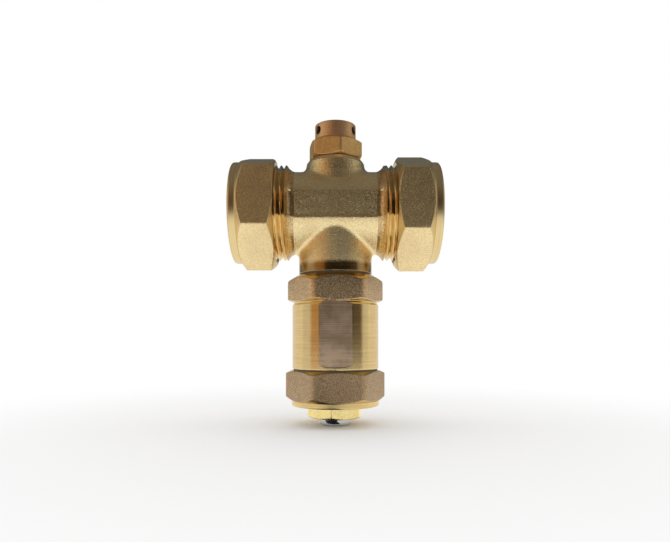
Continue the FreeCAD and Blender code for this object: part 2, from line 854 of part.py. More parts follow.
def thermostat_bulb():
    """A closed cup over the guide's crimp, full of the wax that thrusts the piston."""
    body = new_body("thermostat_bulb")
    inner = "guide_crimp_d / 2 + slide_gap"
    turned(body, "cup", [
        (inner, "0"),
        ("bulb_d / 2", "0"),
        ("bulb_d / 2", "bulb_long - bulb_round"),
        ("bulb_d / 2 - bulb_round", "bulb_long"),
        ("0", "bulb_long"),
        ("0", "bulb_long - bulb_wall"),
        ("bulb_d / 2 - bulb_round - bulb_wall / 2", "bulb_long - bulb_wall"),
        (inner, "bulb_long - bulb_round - bulb_wall / 2"),
    ])
    place(body, z="capsule_z + guide_flange_thick")


def capsule_cage():
    """Stands on the drain cap's spigot and carries the thermostat's flange, with windows for the water."""
    body = new_body("capsule_cage")
    outer = "housing_bore_r - slide_gap"
    high = "capsule_z - cage_z"
    turned(body, "sleeve", [
        (f"{outer} - cage_wall", "0"),
        (outer, "0"),
        (outer, high),
        (f"{outer} - cage_wall", high),
    ])
    window_high = f"({high} - 2 * cage_rim)"
    for role, name in (("XZ_Plane", "cross_windows"), ("YZ_Plane", "side_windows")):
        sketch = new_sketch(body, name + "_sketch", role)
        add_polygon(sketch, [
            ("-cage_window_wide / 2", "cage_rim"),
            ("cage_window_wide / 2", "cage_rim"),
            ("cage_window_wide / 2", f"cage_rim + {window_high}"),
            ("-cage_window_wide / 2", f"cage_rim + {window_high}"),
        ])
        doc.recompute()
        pocket(body, name, sketch, "2 * housing_bore_r", both_ways=True)
    place(body, z="cage_z")


def coil_spring(label, radius, wire, pitch, low, high):
    """A coil between two heights, its ends ground flat."""
    body = new_body(label + "_coil")
    sketch = new_sketch(body, "section", "XZ_Plane")
    add_circle(sketch, wire, radius, "0")
    doc.recompute()
    helix = body.newObject("PartDesign::AdditiveHelix", "helix")
    helix.Profile = sketch
    helix.ReferenceAxis = (sketch, ["V_Axis"])
    helix.Mode = 0
    helix.setExpression("Pitch", formula(pitch))
    helix.setExpression("Height", formula(f"{high} - ({low})"))
    settled(helix)
    body.setExpression("Placement.Base.z", formula(low))
    keep = doc.addObject("Part::Cylinder", label + "_ends")
    keep.setExpression("Radius", formula(f"{radius} + {wire}"))
    keep.setExpression("Height", formula(f"{high} - ({low})"))
    keep.setExpression("Placement.Base.z", formula(low))
    spring = doc.addObject("Part::Common", label)
    spring.Base = body
    spring.Tool = keep
    spring.Label = label
    settled(spring)
    finished.append(spring)


# Vacuum breaker


def vent_body():
    """Datum under the hexagon, where it sits on its gasket."""
    body = new_body("vent_body")
    spigot = "vent_thread_d / 2 - screw_gap"
    corner = blank_radius("vent_across")
    web_low, web_high = "vent_seat_up", "vent_seat_up + vent_seat_thick"
    turned(body, "blank", [
        ("vent_bore_r", "-vent_spigot_long"),
        (f"{spigot} - rim_chamfer", "-vent_spigot_long"),
        (spigot, "-(vent_spigot_long - rim_chamfer)"),
        (spigot, "0"),
        ("vent_across / 2 - vent_low_in", "0"),
        (corner, "vent_low_bevel"),
        (corner, "vent_hex_long - vent_top_bevel"),
        ("vent_across / 2 - vent_top_in", "vent_hex_long"),
        ("vent_pocket_r", "vent_hex_long"),
        ("vent_pocket_r", web_high),
        ("vent_hole_r", web_high),
        ("vent_hole_r", web_low),
        ("vent_bore_r", web_low),
    ])
    mill_hexagon(body, "hexagon", "vent_across", "vent_hex_long", "vent_hex_long")
    place(body, z="vent_z", turn=turn_z(TURNS[body.Label]))


def vent_bonnet():
    """The drilled cap over the seat: air comes in through its three side holes."""
    body = new_body("vent_bonnet")
    outer = "bonnet_r"
    inner = "bonnet_r - bonnet_wall"
    spigot = "vent_pocket_r - slide_gap"
    turned(body, "blank", [
        (inner, "-bonnet_spigot_long"),
        (spigot, "-bonnet_spigot_long"),
        (spigot, "0"),
        (f"{outer} - bonnet_groove", "0"),
        (f"{outer} - bonnet_groove", "bonnet_groove"),
        (outer, "2 * bonnet_groove"),
        (outer, "bonnet_high - bonnet_edge"),
        (f"{outer} - bonnet_edge", "bonnet_high"),
        ("0", "bonnet_high"),
        ("0", "bonnet_high - bonnet_roof"),
        (inner, "bonnet_high - bonnet_roof"),
    ])
    sketch = new_sketch(body, "air_hole_sketch", "XZ_Plane")
    add_circle(sketch, "bonnet_hole_d", "0", "bonnet_hole_up")
    doc.recompute()
    first = pocket(body, "air_hole", sketch, "2 * bonnet_r")
    pattern = body.newObject("PartDesign::PolarPattern", "air_holes")
    pattern.Originals = [first]
    pattern.Axis = (origin_feature(body, "Z_Axis"), [""])
    pattern.Angle = 360
    pattern.Occurrences = 3
    body.Tip = pattern
    settled(pattern)
    place(body, z="vent_z + vent_hex_long", turn=turn_z(TURNS[body.Label]))


def vent_disc():
    """Datum on the disc's top face, under its seal."""
    body = new_body("vent_disc")
    low = "-disc_thick"
    turned(body, "disc", [
        ("0", "0"),
        ("disc_r", "0"),
        ("disc_r", low),
        ("disc_stem_d / 2", low),
        ("disc_stem_d / 2", "-(disc_thick + disc_stem_long)"),
        ("0", "-(disc_thick + disc_stem_long)"),
    ])
    place(body, z="vent_z + vent_seat_up - seat_gap - disc_seal_thick")


def vent_retainer():
    """A slotted plate pressed in the spigot: it carries the spring and guides the disc's stem."""
    body = new_body("vent_retainer")
    turned(body, "plate", [
        ("disc_stem_d / 2 + slide_gap", "0"),
        ("vent_bore_r", "0"),
        ("vent_bore_r", "retainer_thick"),
        ("disc_stem_d / 2 + slide_gap", "retainer_thick"),
    ])
    drill_circle(body, "air_slots", 4, "retainer_slot_d", "retainer_slot_r", "retainer_thick")
    place(body, z="vent_z - vent_spigot_long + retainer_up")


def write_parts():
    os.makedirs("parts", exist_ok=True)
    doc.recompute()
    for thing in doc.Objects:
        if {"Invalid", "Error"} & set(thing.State):
            raise RuntimeError(f"{thing.Label} is left {thing.State}")
    for piece in finished:
        shape = piece.Shape
        if shape.isNull() or not shape.isValid() or not shape.Solids:
            raise RuntimeError(f"{piece.Label} has no valid solid")
        shape.exportStep(f"parts/{piece.Label}.step")
        print(f"{piece.Label}: {len(shape.Solids)} solid, {shape.Volume:.1f} mm3")


fill_sheet()
tee_body()
compression_nut("left_nut", -1)
compression_nut("right_nut", 1)
compression_ring("left_ring", -1)
compression_ring("right_ring", 1)
ring("neck_gasket", "branch_thread_r + screw_gap", "neck_r - gasket_inset", "gasket_thick", "housing_z")
cartridge_housing()
ring("cap_gasket", "cap_thread_r + screw_gap", "housing_r - gasket_inset", "gasket_thick", "cap_z")
drain_cap()
drain_seat()
drain_tip()
o_ring("seat_o_ring", "seat_thread_d / 2 - o_ring_thick / 2 - slide_gap / 2", "o_ring_thick",
       "seat_z + o_ring_up")
shutter()
shutter_seal()
thermostat_piston()
thermostat_guide()
thermostat_bulb()
capsule_cage()
coil_spring("lift_spring", "lift_coil_r", "lift_wire", "lift_pitch", "floor_z", "flange_low_z")
coil_spring("load_spring", "load_coil_r", "load_wire", "load_pitch", "capsule_z + guide_flange_thick", "roof_z")
ring("vent_gasket", "vent_thread_d / 2 + screw_gap", "vent_across / 2 - vent_low_in - gasket_inset",
     "vent_gasket_thick", "run_z + boss_top")
vent_body()
vent_bonnet()
vent_disc()
ring("vent_disc_seal", "disc_seal_hole_r", "disc_seal_r", "disc_seal_thick",
     "vent_z + vent_seat_up - seat_gap - disc_seal_thick")
coil_spring("vent_spring", "vent_coil_d / 2", "vent_wire", "vent_pitch",
            "vent_z - vent_spigot_long + retainer_up + retainer_thick",
            "vent_z + disc_low")
vent_retainer()
write_parts()
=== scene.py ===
import bmesh
import bpy
from math import atan2, cos, floor, pi, radians, sin, sqrt, tan
from mathutils import Matrix, Vector
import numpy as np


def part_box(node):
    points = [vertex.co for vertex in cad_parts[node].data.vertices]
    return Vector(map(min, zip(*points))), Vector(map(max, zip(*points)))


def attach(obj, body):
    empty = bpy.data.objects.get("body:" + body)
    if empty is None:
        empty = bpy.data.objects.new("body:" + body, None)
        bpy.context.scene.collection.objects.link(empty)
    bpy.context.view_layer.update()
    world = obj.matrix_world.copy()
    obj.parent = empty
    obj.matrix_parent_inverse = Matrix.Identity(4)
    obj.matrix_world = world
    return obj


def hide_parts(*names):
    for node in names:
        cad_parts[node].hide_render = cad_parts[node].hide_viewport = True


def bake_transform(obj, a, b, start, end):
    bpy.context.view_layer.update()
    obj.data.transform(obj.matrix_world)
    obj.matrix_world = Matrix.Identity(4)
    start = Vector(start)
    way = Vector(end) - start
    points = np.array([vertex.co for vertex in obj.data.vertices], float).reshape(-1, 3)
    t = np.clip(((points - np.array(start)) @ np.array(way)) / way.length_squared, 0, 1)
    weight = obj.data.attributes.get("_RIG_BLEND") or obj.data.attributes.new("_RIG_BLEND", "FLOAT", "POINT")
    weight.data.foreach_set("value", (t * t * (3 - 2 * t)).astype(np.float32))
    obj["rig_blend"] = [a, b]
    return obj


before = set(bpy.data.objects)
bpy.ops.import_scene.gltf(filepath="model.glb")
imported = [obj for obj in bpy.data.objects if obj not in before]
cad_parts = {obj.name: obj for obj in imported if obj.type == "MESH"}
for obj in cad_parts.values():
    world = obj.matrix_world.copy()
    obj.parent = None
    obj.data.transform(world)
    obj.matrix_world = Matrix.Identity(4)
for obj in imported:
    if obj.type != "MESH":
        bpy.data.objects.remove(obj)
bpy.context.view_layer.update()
mm = 0.001
runZ = sum(corner.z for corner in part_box("left_ring")) / 2  # height of the pipe run's axis
print("frame loaded, the run lies at", round(runZ / mm, 3), "mm")


# the camera stands level, close in front, a little left of the valve's axis
camera = {
    "place": (-0.85, -208.5, 30.75),
    "focalPixels": 590.0,
    "axisPixel": (333.0, 337.0),
    "imageSize": (670.0, 542.0),
    "sensor": 36.0,
    "nearest": 0.005,
    "farthest": 20.0,
}


def makeCamera(c):
    wide, high = c["imageSize"]
    data = bpy.data.cameras.new("studioCamera")
    data.sensor_width = c["sensor"]
    data.lens = c["focalPixels"] / wide * c["sensor"]
    data.shift_x = (wide / 2 - c["axisPixel"][0]) / wide
    data.shift_y = (c["axisPixel"][1] - high / 2) / wide
    data.clip_start = c["nearest"]
    data.clip_end = c["farthest"]
    holder = bpy.data.objects.new("studioCamera", data)
    holder.location = [value * mm for value in c["place"]]
    holder.rotation_euler = (radians(90), 0, 0)
    bpy.context.scene.collection.objects.link(holder)
    bpy.context.scene.camera = holder


makeCamera(camera)
print("camera set")


# studio: a white floor and surround, and cards that only reflections see
studio = {
    "floorSize": 6.0,
    "floorColour": (0.95, 0.95, 0.95, 1),
    "floorRough": 0.9,
    "shadowReach": (0.07, 0.20),     # the floor turns from shaded to plain white between these distances
    "mirrorReach": (0.005, 0.035),   # and between these where metal reflects it
    "worldWhite": 1.0,
    "worldFill": 0.85,
    "cardSteps": 24,
    "cards": (                     # name, radius, degrees round from the front, height from and to, tone
        ("frontLeftCard", 0.36, -67, -34, 0.001, 0.38, (0.50, 0.28, 0.115, 1)),
        ("frontCard", 0.36, -34, 42, 0.001, 0.22, (0.030, 0.025, 0.026, 1)),
        ("frontRightCard", 0.36, 42, 73, 0.001, 0.22, (0.085, 0.058, 0.040, 1)),
        ("frontHighCard", 0.36, -34, 73, 0.22, 0.38, (0.095, 0.080, 0.070, 1)),
        ("rightCard", 0.36, 73, 97, 0.001, 0.38, (0.72, 0.70, 0.66, 1)),
        ("leftCard", 0.36, 263, 293, 0.001, 0.38, (0.72, 0.70, 0.66, 1)),
        ("rearRightLowCard", 0.25, 97, 150, 0.001, 0.075, (0.90, 0.86, 0.80, 1)),
        ("rearRightHighCard", 0.25, 97, 150, 0.075, 0.36, (0.08, 0.09, 0.09, 1)),
        ("rearLowCard", 0.25, 150, 210, 0.001, 0.160, (0.85, 0.82, 0.76, 1)),
        ("rearHighCard", 0.25, 150, 210, 0.160, 0.36, (0.06, 0.10, 0.13, 1)),
        ("rearLeftLowCard", 0.25, 210, 263, 0.001, 0.075, (0.90, 0.86, 0.80, 1)),
        ("rearLeftHighCard", 0.25, 210, 263, 0.075, 0.36, (0.08, 0.09, 0.09, 1)),
    ),
    "tipCard": (-0.0130, 0.0028, -0.050, -0.0062, 0.0006),   # left, right, front, back, height
    "tipTone": (0.015, 0.015, 0.02, 1),
    "roofTone": (0.170, 0.155, 0.145, 1),
    "roofHeight": 0.50,
    "roofRadius": 1.3,
    "roofSteps": 48,
    "lampAim": (0, 0, 0.06),
    "lamps": (                     # name, place, size, power
        ("leftSoftbox", (-0.75, 0.05, 0.25), 0.6, 0.7),
        ("rightSoftbox", (0.75, 0.05, 0.22), 0.6, 0.6),
        ("topSoftbox", (0.0, 0.1, 0.75), 0.7, 0.6),
    ),
}


def linkObject(mesh, name):
    thing = bpy.data.objects.new(name, mesh)
    bpy.context.scene.collection.objects.link(thing)
    return thing


def meshFrom(bm, name):
    mesh = bpy.data.meshes.new(name)
    bm.to_mesh(mesh)
    bm.free()
    return mesh


def calculated(tree, operation, first, second):
    # a math node that takes two sockets
    step = tree.nodes.new("ShaderNodeMath")
    step.operation = operation
    tree.links.new(first, step.inputs[0])
    tree.links.new(second, step.inputs[1])
    return step.outputs[0]


def highestOf(tree, values):
    result = values[0]
    for value in values[1:]:
        result = calculated(tree, "MAXIMUM", result, value)
    return result


def whiteBackground(tree, strength):
    background = tree.nodes.new("ShaderNodeBackground")
    background.inputs["Color"].default_value = (1, 1, 1, 1)
    background.inputs["Strength"].default_value = strength
    return background.outputs[0]


def makeWorld(s):
    world = bpy.data.worlds.new("studioWorld")
    bpy.context.scene.world = world
    world.use_nodes = True
    tree = world.node_tree
    tree.nodes.clear()
    path = tree.nodes.new("ShaderNodeLightPath")
    rays = ("Is Camera Ray", "Is Glossy Ray", "Is Transmission Ray")
    seen = highestOf(tree, [path.outputs[ray] for ray in rays])
    mix = tree.nodes.new("ShaderNodeMixShader")
    out = tree.nodes.new("ShaderNodeOutputWorld")
    tree.links.new(seen, mix.inputs["Fac"])
    tree.links.new(whiteBackground(tree, s["worldFill"]), mix.inputs[1])
    tree.links.new(whiteBackground(tree, s["worldWhite"]), mix.inputs[2])
    tree.links.new(mix.outputs[0], out.inputs["Surface"])


def plainEmission(name, colour):
    material = bpy.data.materials.new(name)
    material.use_nodes = True
    tree = material.node_tree
    tree.nodes.clear()
    glow = tree.nodes.new("ShaderNodeEmission")
    glow.inputs["Color"].default_value = colour
    out = tree.nodes.new("ShaderNodeOutputMaterial")
    tree.links.new(glow.outputs[0], out.inputs["Surface"])
    return material


def makeFloor(s):
    # the floor keeps the shadow near the valve and is plain white further out
    bm = bmesh.new()
    bmesh.ops.create_grid(bm, x_segments=2, y_segments=2, size=s["floorSize"] / 2)
    floorPlane = linkObject(meshFrom(bm, "studioFloor"), "studioFloor")
    material = bpy.data.materials.new("whiteSweep")
    material.use_nodes = True
    tree = material.node_tree
    shader = tree.nodes["Principled BSDF"]
    shader.inputs["Base Color"].default_value = s["floorColour"]
    shader.inputs["Roughness"].default_value = s["floorRough"]
    shader.inputs["Specular IOR Level"].default_value = 0.0
    glow = tree.nodes.new("ShaderNodeEmission")
    glow.inputs["Color"].default_value = (1, 1, 1, 1)
    coords = tree.nodes.new("ShaderNodeTexCoord")
    distance = tree.nodes.new("ShaderNodeVectorMath")
    distance.operation = "LENGTH"
    tree.links.new(coords.outputs["Object"], distance.inputs[0])
    path = tree.nodes.new("ShaderNodeLightPath")
    whites = []
    for reach, rays in (
        (s["shadowReach"], ("Is Camera Ray",)),
        (s["mirrorReach"], ("Is Glossy Ray", "Is Transmission Ray")),
    ):
        spread = tree.nodes.new("ShaderNodeMapRange")
        spread.interpolation_type = "SMOOTHSTEP"
        spread.inputs["From Min"].default_value, spread.inputs["From Max"].default_value = reach
        tree.links.new(distance.outputs["Value"], spread.inputs["Value"])
        for ray in rays:
            whites.append(calculated(tree, "MULTIPLY", spread.outputs["Result"], path.outputs[ray]))
    mix = tree.nodes.new("ShaderNodeMixShader")
    tree.links.new(highestOf(tree, whites), mix.inputs["Fac"])
    tree.links.new(shader.outputs[0], mix.inputs[1])
    tree.links.new(glow.outputs[0], mix.inputs[2])
    tree.links.new(mix.outputs[0], tree.nodes["Material Output"].inputs["Surface"])
    floorPlane.data.materials.append(material)


def onlyInReflections(card):
    card.visible_camera = False
    card.visible_diffuse = False
    card.visible_transmission = False
    card.visible_shadow = False


def makeCards(s):
    for name, radius, fromAngle, toAngle, low, high, tone in s["cards"]:
        bm = bmesh.new()
        foot = bm.verts.new((0, -radius, low))
        head = bm.verts.new((0, -radius, high))
        edge = bm.edges.new((foot, head))
        start = Matrix.Rotation(radians(fromAngle), 3, "Z")
        bmesh.ops.rotate(bm, verts=bm.verts, cent=(0, 0, 0), matrix=start)
        bmesh.ops.spin(bm, geom=[foot, head, edge], cent=(0, 0, 0), axis=(0, 0, 1),
                       angle=radians(toAngle - fromAngle), steps=s["cardSteps"])
        card = linkObject(meshFrom(bm, name), name)
        card.data.materials.append(plainEmission(name + "Tone", tone))
        onlyInReflections(card)
    left, right, front, back, height = s["tipCard"]
    bm = bmesh.new()
    bmesh.ops.create_grid(bm, x_segments=1, y_segments=1, size=0.5)
    bmesh.ops.scale(bm, vec=(right - left, back - front, 1), verts=bm.verts)
    bmesh.ops.translate(bm, vec=((left + right) / 2, (front + back) / 2, height), verts=bm.verts)
    card = linkObject(meshFrom(bm, "tipCard"), "tipCard")
    card.data.materials.append(plainEmission("tipCardTone", s["tipTone"]))
    onlyInReflections(card)
    bm = bmesh.new()
    bmesh.ops.create_circle(bm, cap_ends=True, segments=s["roofSteps"], radius=s["roofRadius"],
                            matrix=Matrix.Translation((0, 0, s["roofHeight"])))
    roof = linkObject(meshFrom(bm, "roofCard"), "roofCard")
    roof.data.materials.append(plainEmission("roofCardTone", s["roofTone"]))
    onlyInReflections(roof)


def areaLamp(name, place, aim, size, power):
    data = bpy.data.lights.new(name, "AREA")
    data.shape = "DISK"
    data.size = size
    data.energy = power
    lamp = bpy.data.objects.new(name, data)
    lamp.location = place
    lamp.rotation_euler = (Vector(aim) - Vector(place)).to_track_quat("-Z", "Y").to_euler()
    bpy.context.scene.collection.objects.link(lamp)


makeWorld(studio)
makeFloor(studio)
makeCards(studio)
for name, place, size, power in studio["lamps"]:
    areaLamp(name, place, studio["lampAim"], size, power)
print("studio set")


# finishes
class Finish:
    # a metal or rubber material that is built up from noise on object coordinates

    def __init__(self, name, metallic=1.0):
        self.material = bpy.data.materials.new(name)
        self.material.use_nodes = True
        self.tree = self.material.node_tree
        self.shader = self.tree.nodes["Principled BSDF"]
        self.shader.inputs["Metallic"].default_value = metallic
        self.coords = self.tree.nodes.new("ShaderNodeTexCoord").outputs["Object"]

    def node(self, kind, **settings):
        made = self.tree.nodes.new(kind)
        for key, value in settings.items():
            setattr(made, key, value)
        return made

    def link(self, source, socket):
        self.tree.links.new(source, socket)

    def noise(self, scale, detail=2.0, rough=0.5, stretch=None):
        texture = self.node("ShaderNodeTexNoise")
        texture.inputs["Scale"].default_value = scale
        texture.inputs["Detail"].default_value = detail
        texture.inputs["Roughness"].default_value = rough
        if stretch:
            mapping = self.node("ShaderNodeMapping")
            mapping.inputs["Scale"].default_value = stretch
            self.link(self.coords, mapping.inputs["Vector"])
            self.link(mapping.outputs["Vector"], texture.inputs["Vector"])
        else:
            self.link(self.coords, texture.inputs["Vector"])
        return texture.outputs["Fac"]

    def ramp(self, source, low, high, lowTo=0.0, highTo=1.0):
        spread = self.node("ShaderNodeMapRange")
        spread.inputs["From Min"].default_value = low
        spread.inputs["From Max"].default_value = high
        spread.inputs["To Min"].default_value = lowTo
        spread.inputs["To Max"].default_value = highTo
        self.link(source, spread.inputs["Value"])
        return spread.outputs["Result"]

    def colours(self, factor, first, second):
        mix = self.node("ShaderNodeMix", data_type="RGBA")
        self.link(factor, mix.inputs["Factor"])
        for socket, value in ((mix.inputs["A"], first), (mix.inputs["B"], second)):
            if isinstance(value, tuple):
                socket.default_value = (*value, 1)
            else:
                self.link(value, socket)
        return mix.outputs["Result"]

    def values(self, factor, first, second):
        mix = self.node("ShaderNodeMix", data_type="FLOAT")
        self.link(factor, mix.inputs["Factor"])
        for socket, value in ((mix.inputs["A"], first), (mix.inputs["B"], second)):
            if isinstance(value, (int, float)):
                socket.default_value = value
            else:
                self.link(value, socket)
        return mix.outputs["Result"]

    def product(self, first, second):
        times = self.node("ShaderNodeMath", operation="MULTIPLY")
        self.link(first, times.inputs[0])
        if isinstance(second, (int, float)):
            times.inputs[1].default_value = second
        else:
            self.link(second, times.inputs[1])
        return times.outputs[0]

    def added(self, first, second):
        return calculated(self.tree, "ADD", first, second)

    def mask(self, name):
        return self.node("ShaderNodeAttribute", attribute_name=name).outputs["Fac"]

    def bump(self, height, deep):
        bump = self.node("ShaderNodeBump")
        bump.inputs["Strength"].default_value = 1.0
        bump.inputs["Distance"].default_value = deep
        self.link(height, bump.inputs["Height"])
        self.link(bump.outputs["Normal"], self.shader.inputs["Normal"])

    def colour(self, source):
        self.link(source, self.shader.inputs["Base Color"])

    def roughness(self, source):
        self.link(source, self.shader.inputs["Roughness"])


# lathe lines run round the piece's own axis, so the fine scale is along it
latheUp = (50.0, 50.0, 7000.0)
latheAcross = (7000.0, 50.0, 50.0)
wireGrain = (900, 900, 900)
drawnGrain = (60, 60, 3000)

# detail and roughness of each noise, then where it starts and ends in a finish, and for the tarnish
# how much of it shows
noiseKinds = {
    "grain": (2.0, 0.6), "speckle": (1.0, 0.5), "patches": (3.0, 0.55), "lines": (3.0, 0.6),
    "spots": (4.0, 0.6),
}
noiseRanges = {
    "speckle": (0.38, 0.62), "lines": (0.35, 0.65), "rough": (0.3, 0.7), "milled": (0.85, 1.15),
    "forgedTarnish": (0.45, 0.75, 0.0, 0.55), "turnedTarnish": (0.5, 0.8, 0.0, 0.35),
    "plainTarnish": (0.5, 0.8, 0.0, 0.3),
}
speckleShare = 0.8     # the speckle is a little coarser than the pits
plainPatches = 260.0


def brassFinish(name, f, lathe=latheUp):
    # sandblasted forged faces and turned faces in one metal: the piece's masks say which is where, where it
    # is worn or milled, and where shade is painted
    made = Finish(name)
    turned = made.mask("turned")
    worn = made.mask("edge")
    grain = made.noise(f["grainScale"], *noiseKinds["grain"])
    speckle = made.noise(f["grainScale"] * speckleShare, *noiseKinds["speckle"])
    patches = made.noise(f["patchScale"], *noiseKinds["patches"])
    lines = made.noise(1.0, *noiseKinds["lines"], lathe)
    forgedTone = made.colours(made.ramp(speckle, *noiseRanges["speckle"]), f["forgedDark"], f["forgedLight"])
    forgedTone = made.colours(made.ramp(patches, *noiseRanges["forgedTarnish"]), forgedTone, f["tarnish"])
    turnedTone = made.colours(made.ramp(lines, *noiseRanges["lines"]), f["turnedDark"], f["turnedLight"])
    turnedTone = made.colours(made.ramp(patches, *noiseRanges["turnedTarnish"]), turnedTone, f["tarnish"])
    if "milledTone" in f:
        scratches = made.ramp(made.added(lines, patches), *noiseRanges["milled"])
        milledTone = made.colours(scratches, *f["milledTone"])
        turnedTone = made.colours(made.mask("milled"), turnedTone, milledTone)
    tone = made.colours(turned, forgedTone, turnedTone)
    # painted shade, darkening the tone wherever the piece's mask asks for it
    if "paintedShade" in f:
        tone = made.colours(made.mask("paintedShade"), tone, f["paintedShade"])
    made.colour(made.colours(made.product(worn, f["wear"]), tone, f["turnedLight"]))
    forgedRough = made.ramp(grain, *noiseRanges["rough"], *f["forgedRough"])
    turnedRough = made.ramp(lines, *noiseRanges["rough"], *f["turnedRough"])
    if "milledTone" in f:
        turnedRough = made.values(made.mask("milled"), turnedRough, f["milledRough"])
    rough = made.values(turned, forgedRough, turnedRough)
    made.roughness(made.values(made.product(worn, f["wear"]), rough, f["turnedRough"][1]))
    pits = made.product(grain, f["grainDeep"])
    ridges = made.product(lines, f["lineDeep"])
    if "milledTone" in f:
        ridges = made.values(made.mask("milled"), ridges, made.product(lines, f["milledDeep"]))
    made.bump(made.values(turned, pits, ridges), mm)
    return made.material


forgedBrass = brassFinish("forgedBrass", {
    "grainScale": 2900.0, "patchScale": 160.0,
    "forgedDark": (0.94, 0.69, 0.34), "forgedLight": (1.0, 0.88, 0.50), "tarnish": (0.84, 0.59, 0.31),
    # the tee's turned tones are dark: painted shade on its bores and the neck's lower end
    "turnedDark": (0.30, 0.195, 0.08), "turnedLight": (0.42, 0.28, 0.12),
    "forgedRough": (0.24, 0.36), "turnedRough": (0.19, 0.28),
    "grainDeep": 0.15, "lineDeep": 0.012, "wear": 0.25,
})
housingBrass = brassFinish("forgedHousingBrass", {
    "grainScale": 4200.0, "patchScale": 170.0,
    "forgedDark": (0.40, 0.27, 0.15), "forgedLight": (0.90, 0.65, 0.36), "tarnish": (0.54, 0.37, 0.21),
    "turnedDark": (0.68, 0.50, 0.23), "turnedLight": (0.80, 0.62, 0.31),
    "forgedRough": (0.22, 0.34), "turnedRough": (0.15, 0.24),
    "milledTone": ((0.50, 0.345, 0.22), (0.80, 0.60, 0.41)), "milledRough": 0.36, "milledDeep": 0.03,
    "grainDeep": 0.085, "lineDeep": 0.008, "wear": 0.0,
})
capBrass = brassFinish("forgedCapBrass", {
    "grainScale": 4000.0, "patchScale": 170.0,
    "forgedDark": (0.34, 0.24, 0.15), "forgedLight": (0.66, 0.48, 0.28), "tarnish": (0.44, 0.31, 0.19),
    "turnedDark": (0.70, 0.50, 0.21), "turnedLight": (0.84, 0.64, 0.29),
    "forgedRough": (0.44, 0.58), "turnedRough": (0.26, 0.36),
    "grainDeep": 0.17, "lineDeep": 0.008, "wear": 0.1,
})
nutBrass = brassFinish("forgedNutBrass", {
    "grainScale": 3200.0, "patchScale": 140.0,
    "forgedDark": (0.86, 0.63, 0.32), "forgedLight": (1.0, 0.84, 0.46), "tarnish": (0.78, 0.56, 0.32),
    "turnedDark": (0.72, 0.55, 0.26), "turnedLight": (0.90, 0.72, 0.38),
    "forgedRough": (0.25, 0.38), "turnedRough": (0.30, 0.42),
    "grainDeep": 0.18, "lineDeep": 0.01, "wear": 0.4,
}, latheAcross)
threadBrass = brassFinish("threadBrass", {
    "grainScale": 1800.0, "patchScale": 200.0,
    "forgedDark": (0.60, 0.42, 0.20), "forgedLight": (0.88, 0.66, 0.34), "tarnish": (0.60, 0.42, 0.20),
    "turnedDark": (0.80, 0.58, 0.27), "turnedLight": (0.94, 0.76, 0.42),
    # the last tone is painted shade for the thread roots
    "forgedRough": (0.30, 0.45), "turnedRough": (0.07, 0.12), "paintedShade": (0.66, 0.47, 0.24),
    "grainDeep": 0.05, "lineDeep": 0.006, "wear": 0.3,
}, latheAcross)
yellowBrass = brassFinish("yellowBrass", {
    "grainScale": 1500.0, "patchScale": 260.0,
    "forgedDark": (0.90, 0.71, 0.29), "forgedLight": (0.96, 0.79, 0.36), "tarnish": (0.84, 0.65, 0.26),
    "turnedDark": (0.82, 0.62, 0.26), "turnedLight": (0.95, 0.80, 0.40),
    "forgedRough": (0.20, 0.30), "turnedRough": (0.14, 0.24),
    "grainDeep": 0.008, "lineDeep": 0.01, "wear": 0.6,
})
bronzeBrass = brassFinish("polishedBronze", {
    "grainScale": 1500.0, "patchScale": 260.0,
    "forgedDark": (0.84, 0.54, 0.20), "forgedLight": (0.94, 0.64, 0.27), "tarnish": (0.78, 0.48, 0.21),
    "turnedDark": (0.82, 0.51, 0.25), "turnedLight": (0.94, 0.63, 0.35),
    # the last tone is painted shade for the bonnet's inside
    "forgedRough": (0.48, 0.60), "turnedRough": (0.48, 0.60), "paintedShade": (0.03, 0.02, 0.012),
    "grainDeep": 0.01, "lineDeep": 0.006, "wear": 0.5,
})


def turnedFinish(name, light, dark, rough, stretch, deep=0.008):
    made = Finish(name)
    lines = made.noise(1.0, *noiseKinds["lines"], stretch)
    patches = made.noise(plainPatches, *noiseKinds["patches"])
    tone = made.colours(made.ramp(lines, *noiseRanges["lines"]), dark, light)
    made.colour(made.colours(made.ramp(patches, *noiseRanges["plainTarnish"]), tone, dark))
    made.roughness(made.ramp(lines, *noiseRanges["rough"], *rough))
    made.bump(lines, deep * mm)
    return made.material


def steelFinish(name, light, dark, rough, stretch, deep=0.006):
    made = Finish(name)
    lines = made.noise(1.0, *noiseKinds["lines"], stretch)
    made.colour(made.colours(made.ramp(lines, *noiseRanges["rough"]), dark, light))
    made.roughness(made.ramp(lines, *noiseRanges["rough"], *rough))
    made.bump(lines, deep * mm)
    return made.material


def rubberFinish(name, light, dark, grain, rough=(0.55, 0.8), deep=0.03):
    made = Finish(name, 0.0)
    spots = made.noise(grain, *noiseKinds["spots"])
    made.colour(made.colours(made.ramp(spots, *noiseRanges["lines"]), dark, light))
    made.roughness(made.ramp(spots, *noiseRanges["rough"], *rough))
    made.bump(spots, deep * mm)
    return made.material


cleanBrass = ((0.88, 0.68, 0.34), (0.70, 0.51, 0.24))
ringBrass = turnedFinish("turnedRingBrass", *cleanBrass, (0.14, 0.26), latheAcross)
innerBrass = turnedFinish("turnedInnerBrass", *cleanBrass, (0.16, 0.28), latheUp)
polishedSteel = steelFinish("polishedSteel", (0.74, 0.74, 0.73), (0.60, 0.60, 0.60), (0.06, 0.14), latheUp)
springWire = steelFinish("drawnSpringWire", (0.60, 0.60, 0.61), (0.40, 0.40, 0.42), (0.20, 0.36), wireGrain)
blackRubber = rubberFinish("blackRubber", (0.030, 0.030, 0.032), (0.012, 0.012, 0.013), 900.0)
gasketFibre = rubberFinish("gasketFibre", (0.13, 0.115, 0.07), (0.07, 0.06, 0.04), 1500.0)
copperFinish = steelFinish("drawnCopper", (0.92, 0.55, 0.38), (0.74, 0.40, 0.26), (0.22, 0.36), drawnGrain)
print("finishes made")


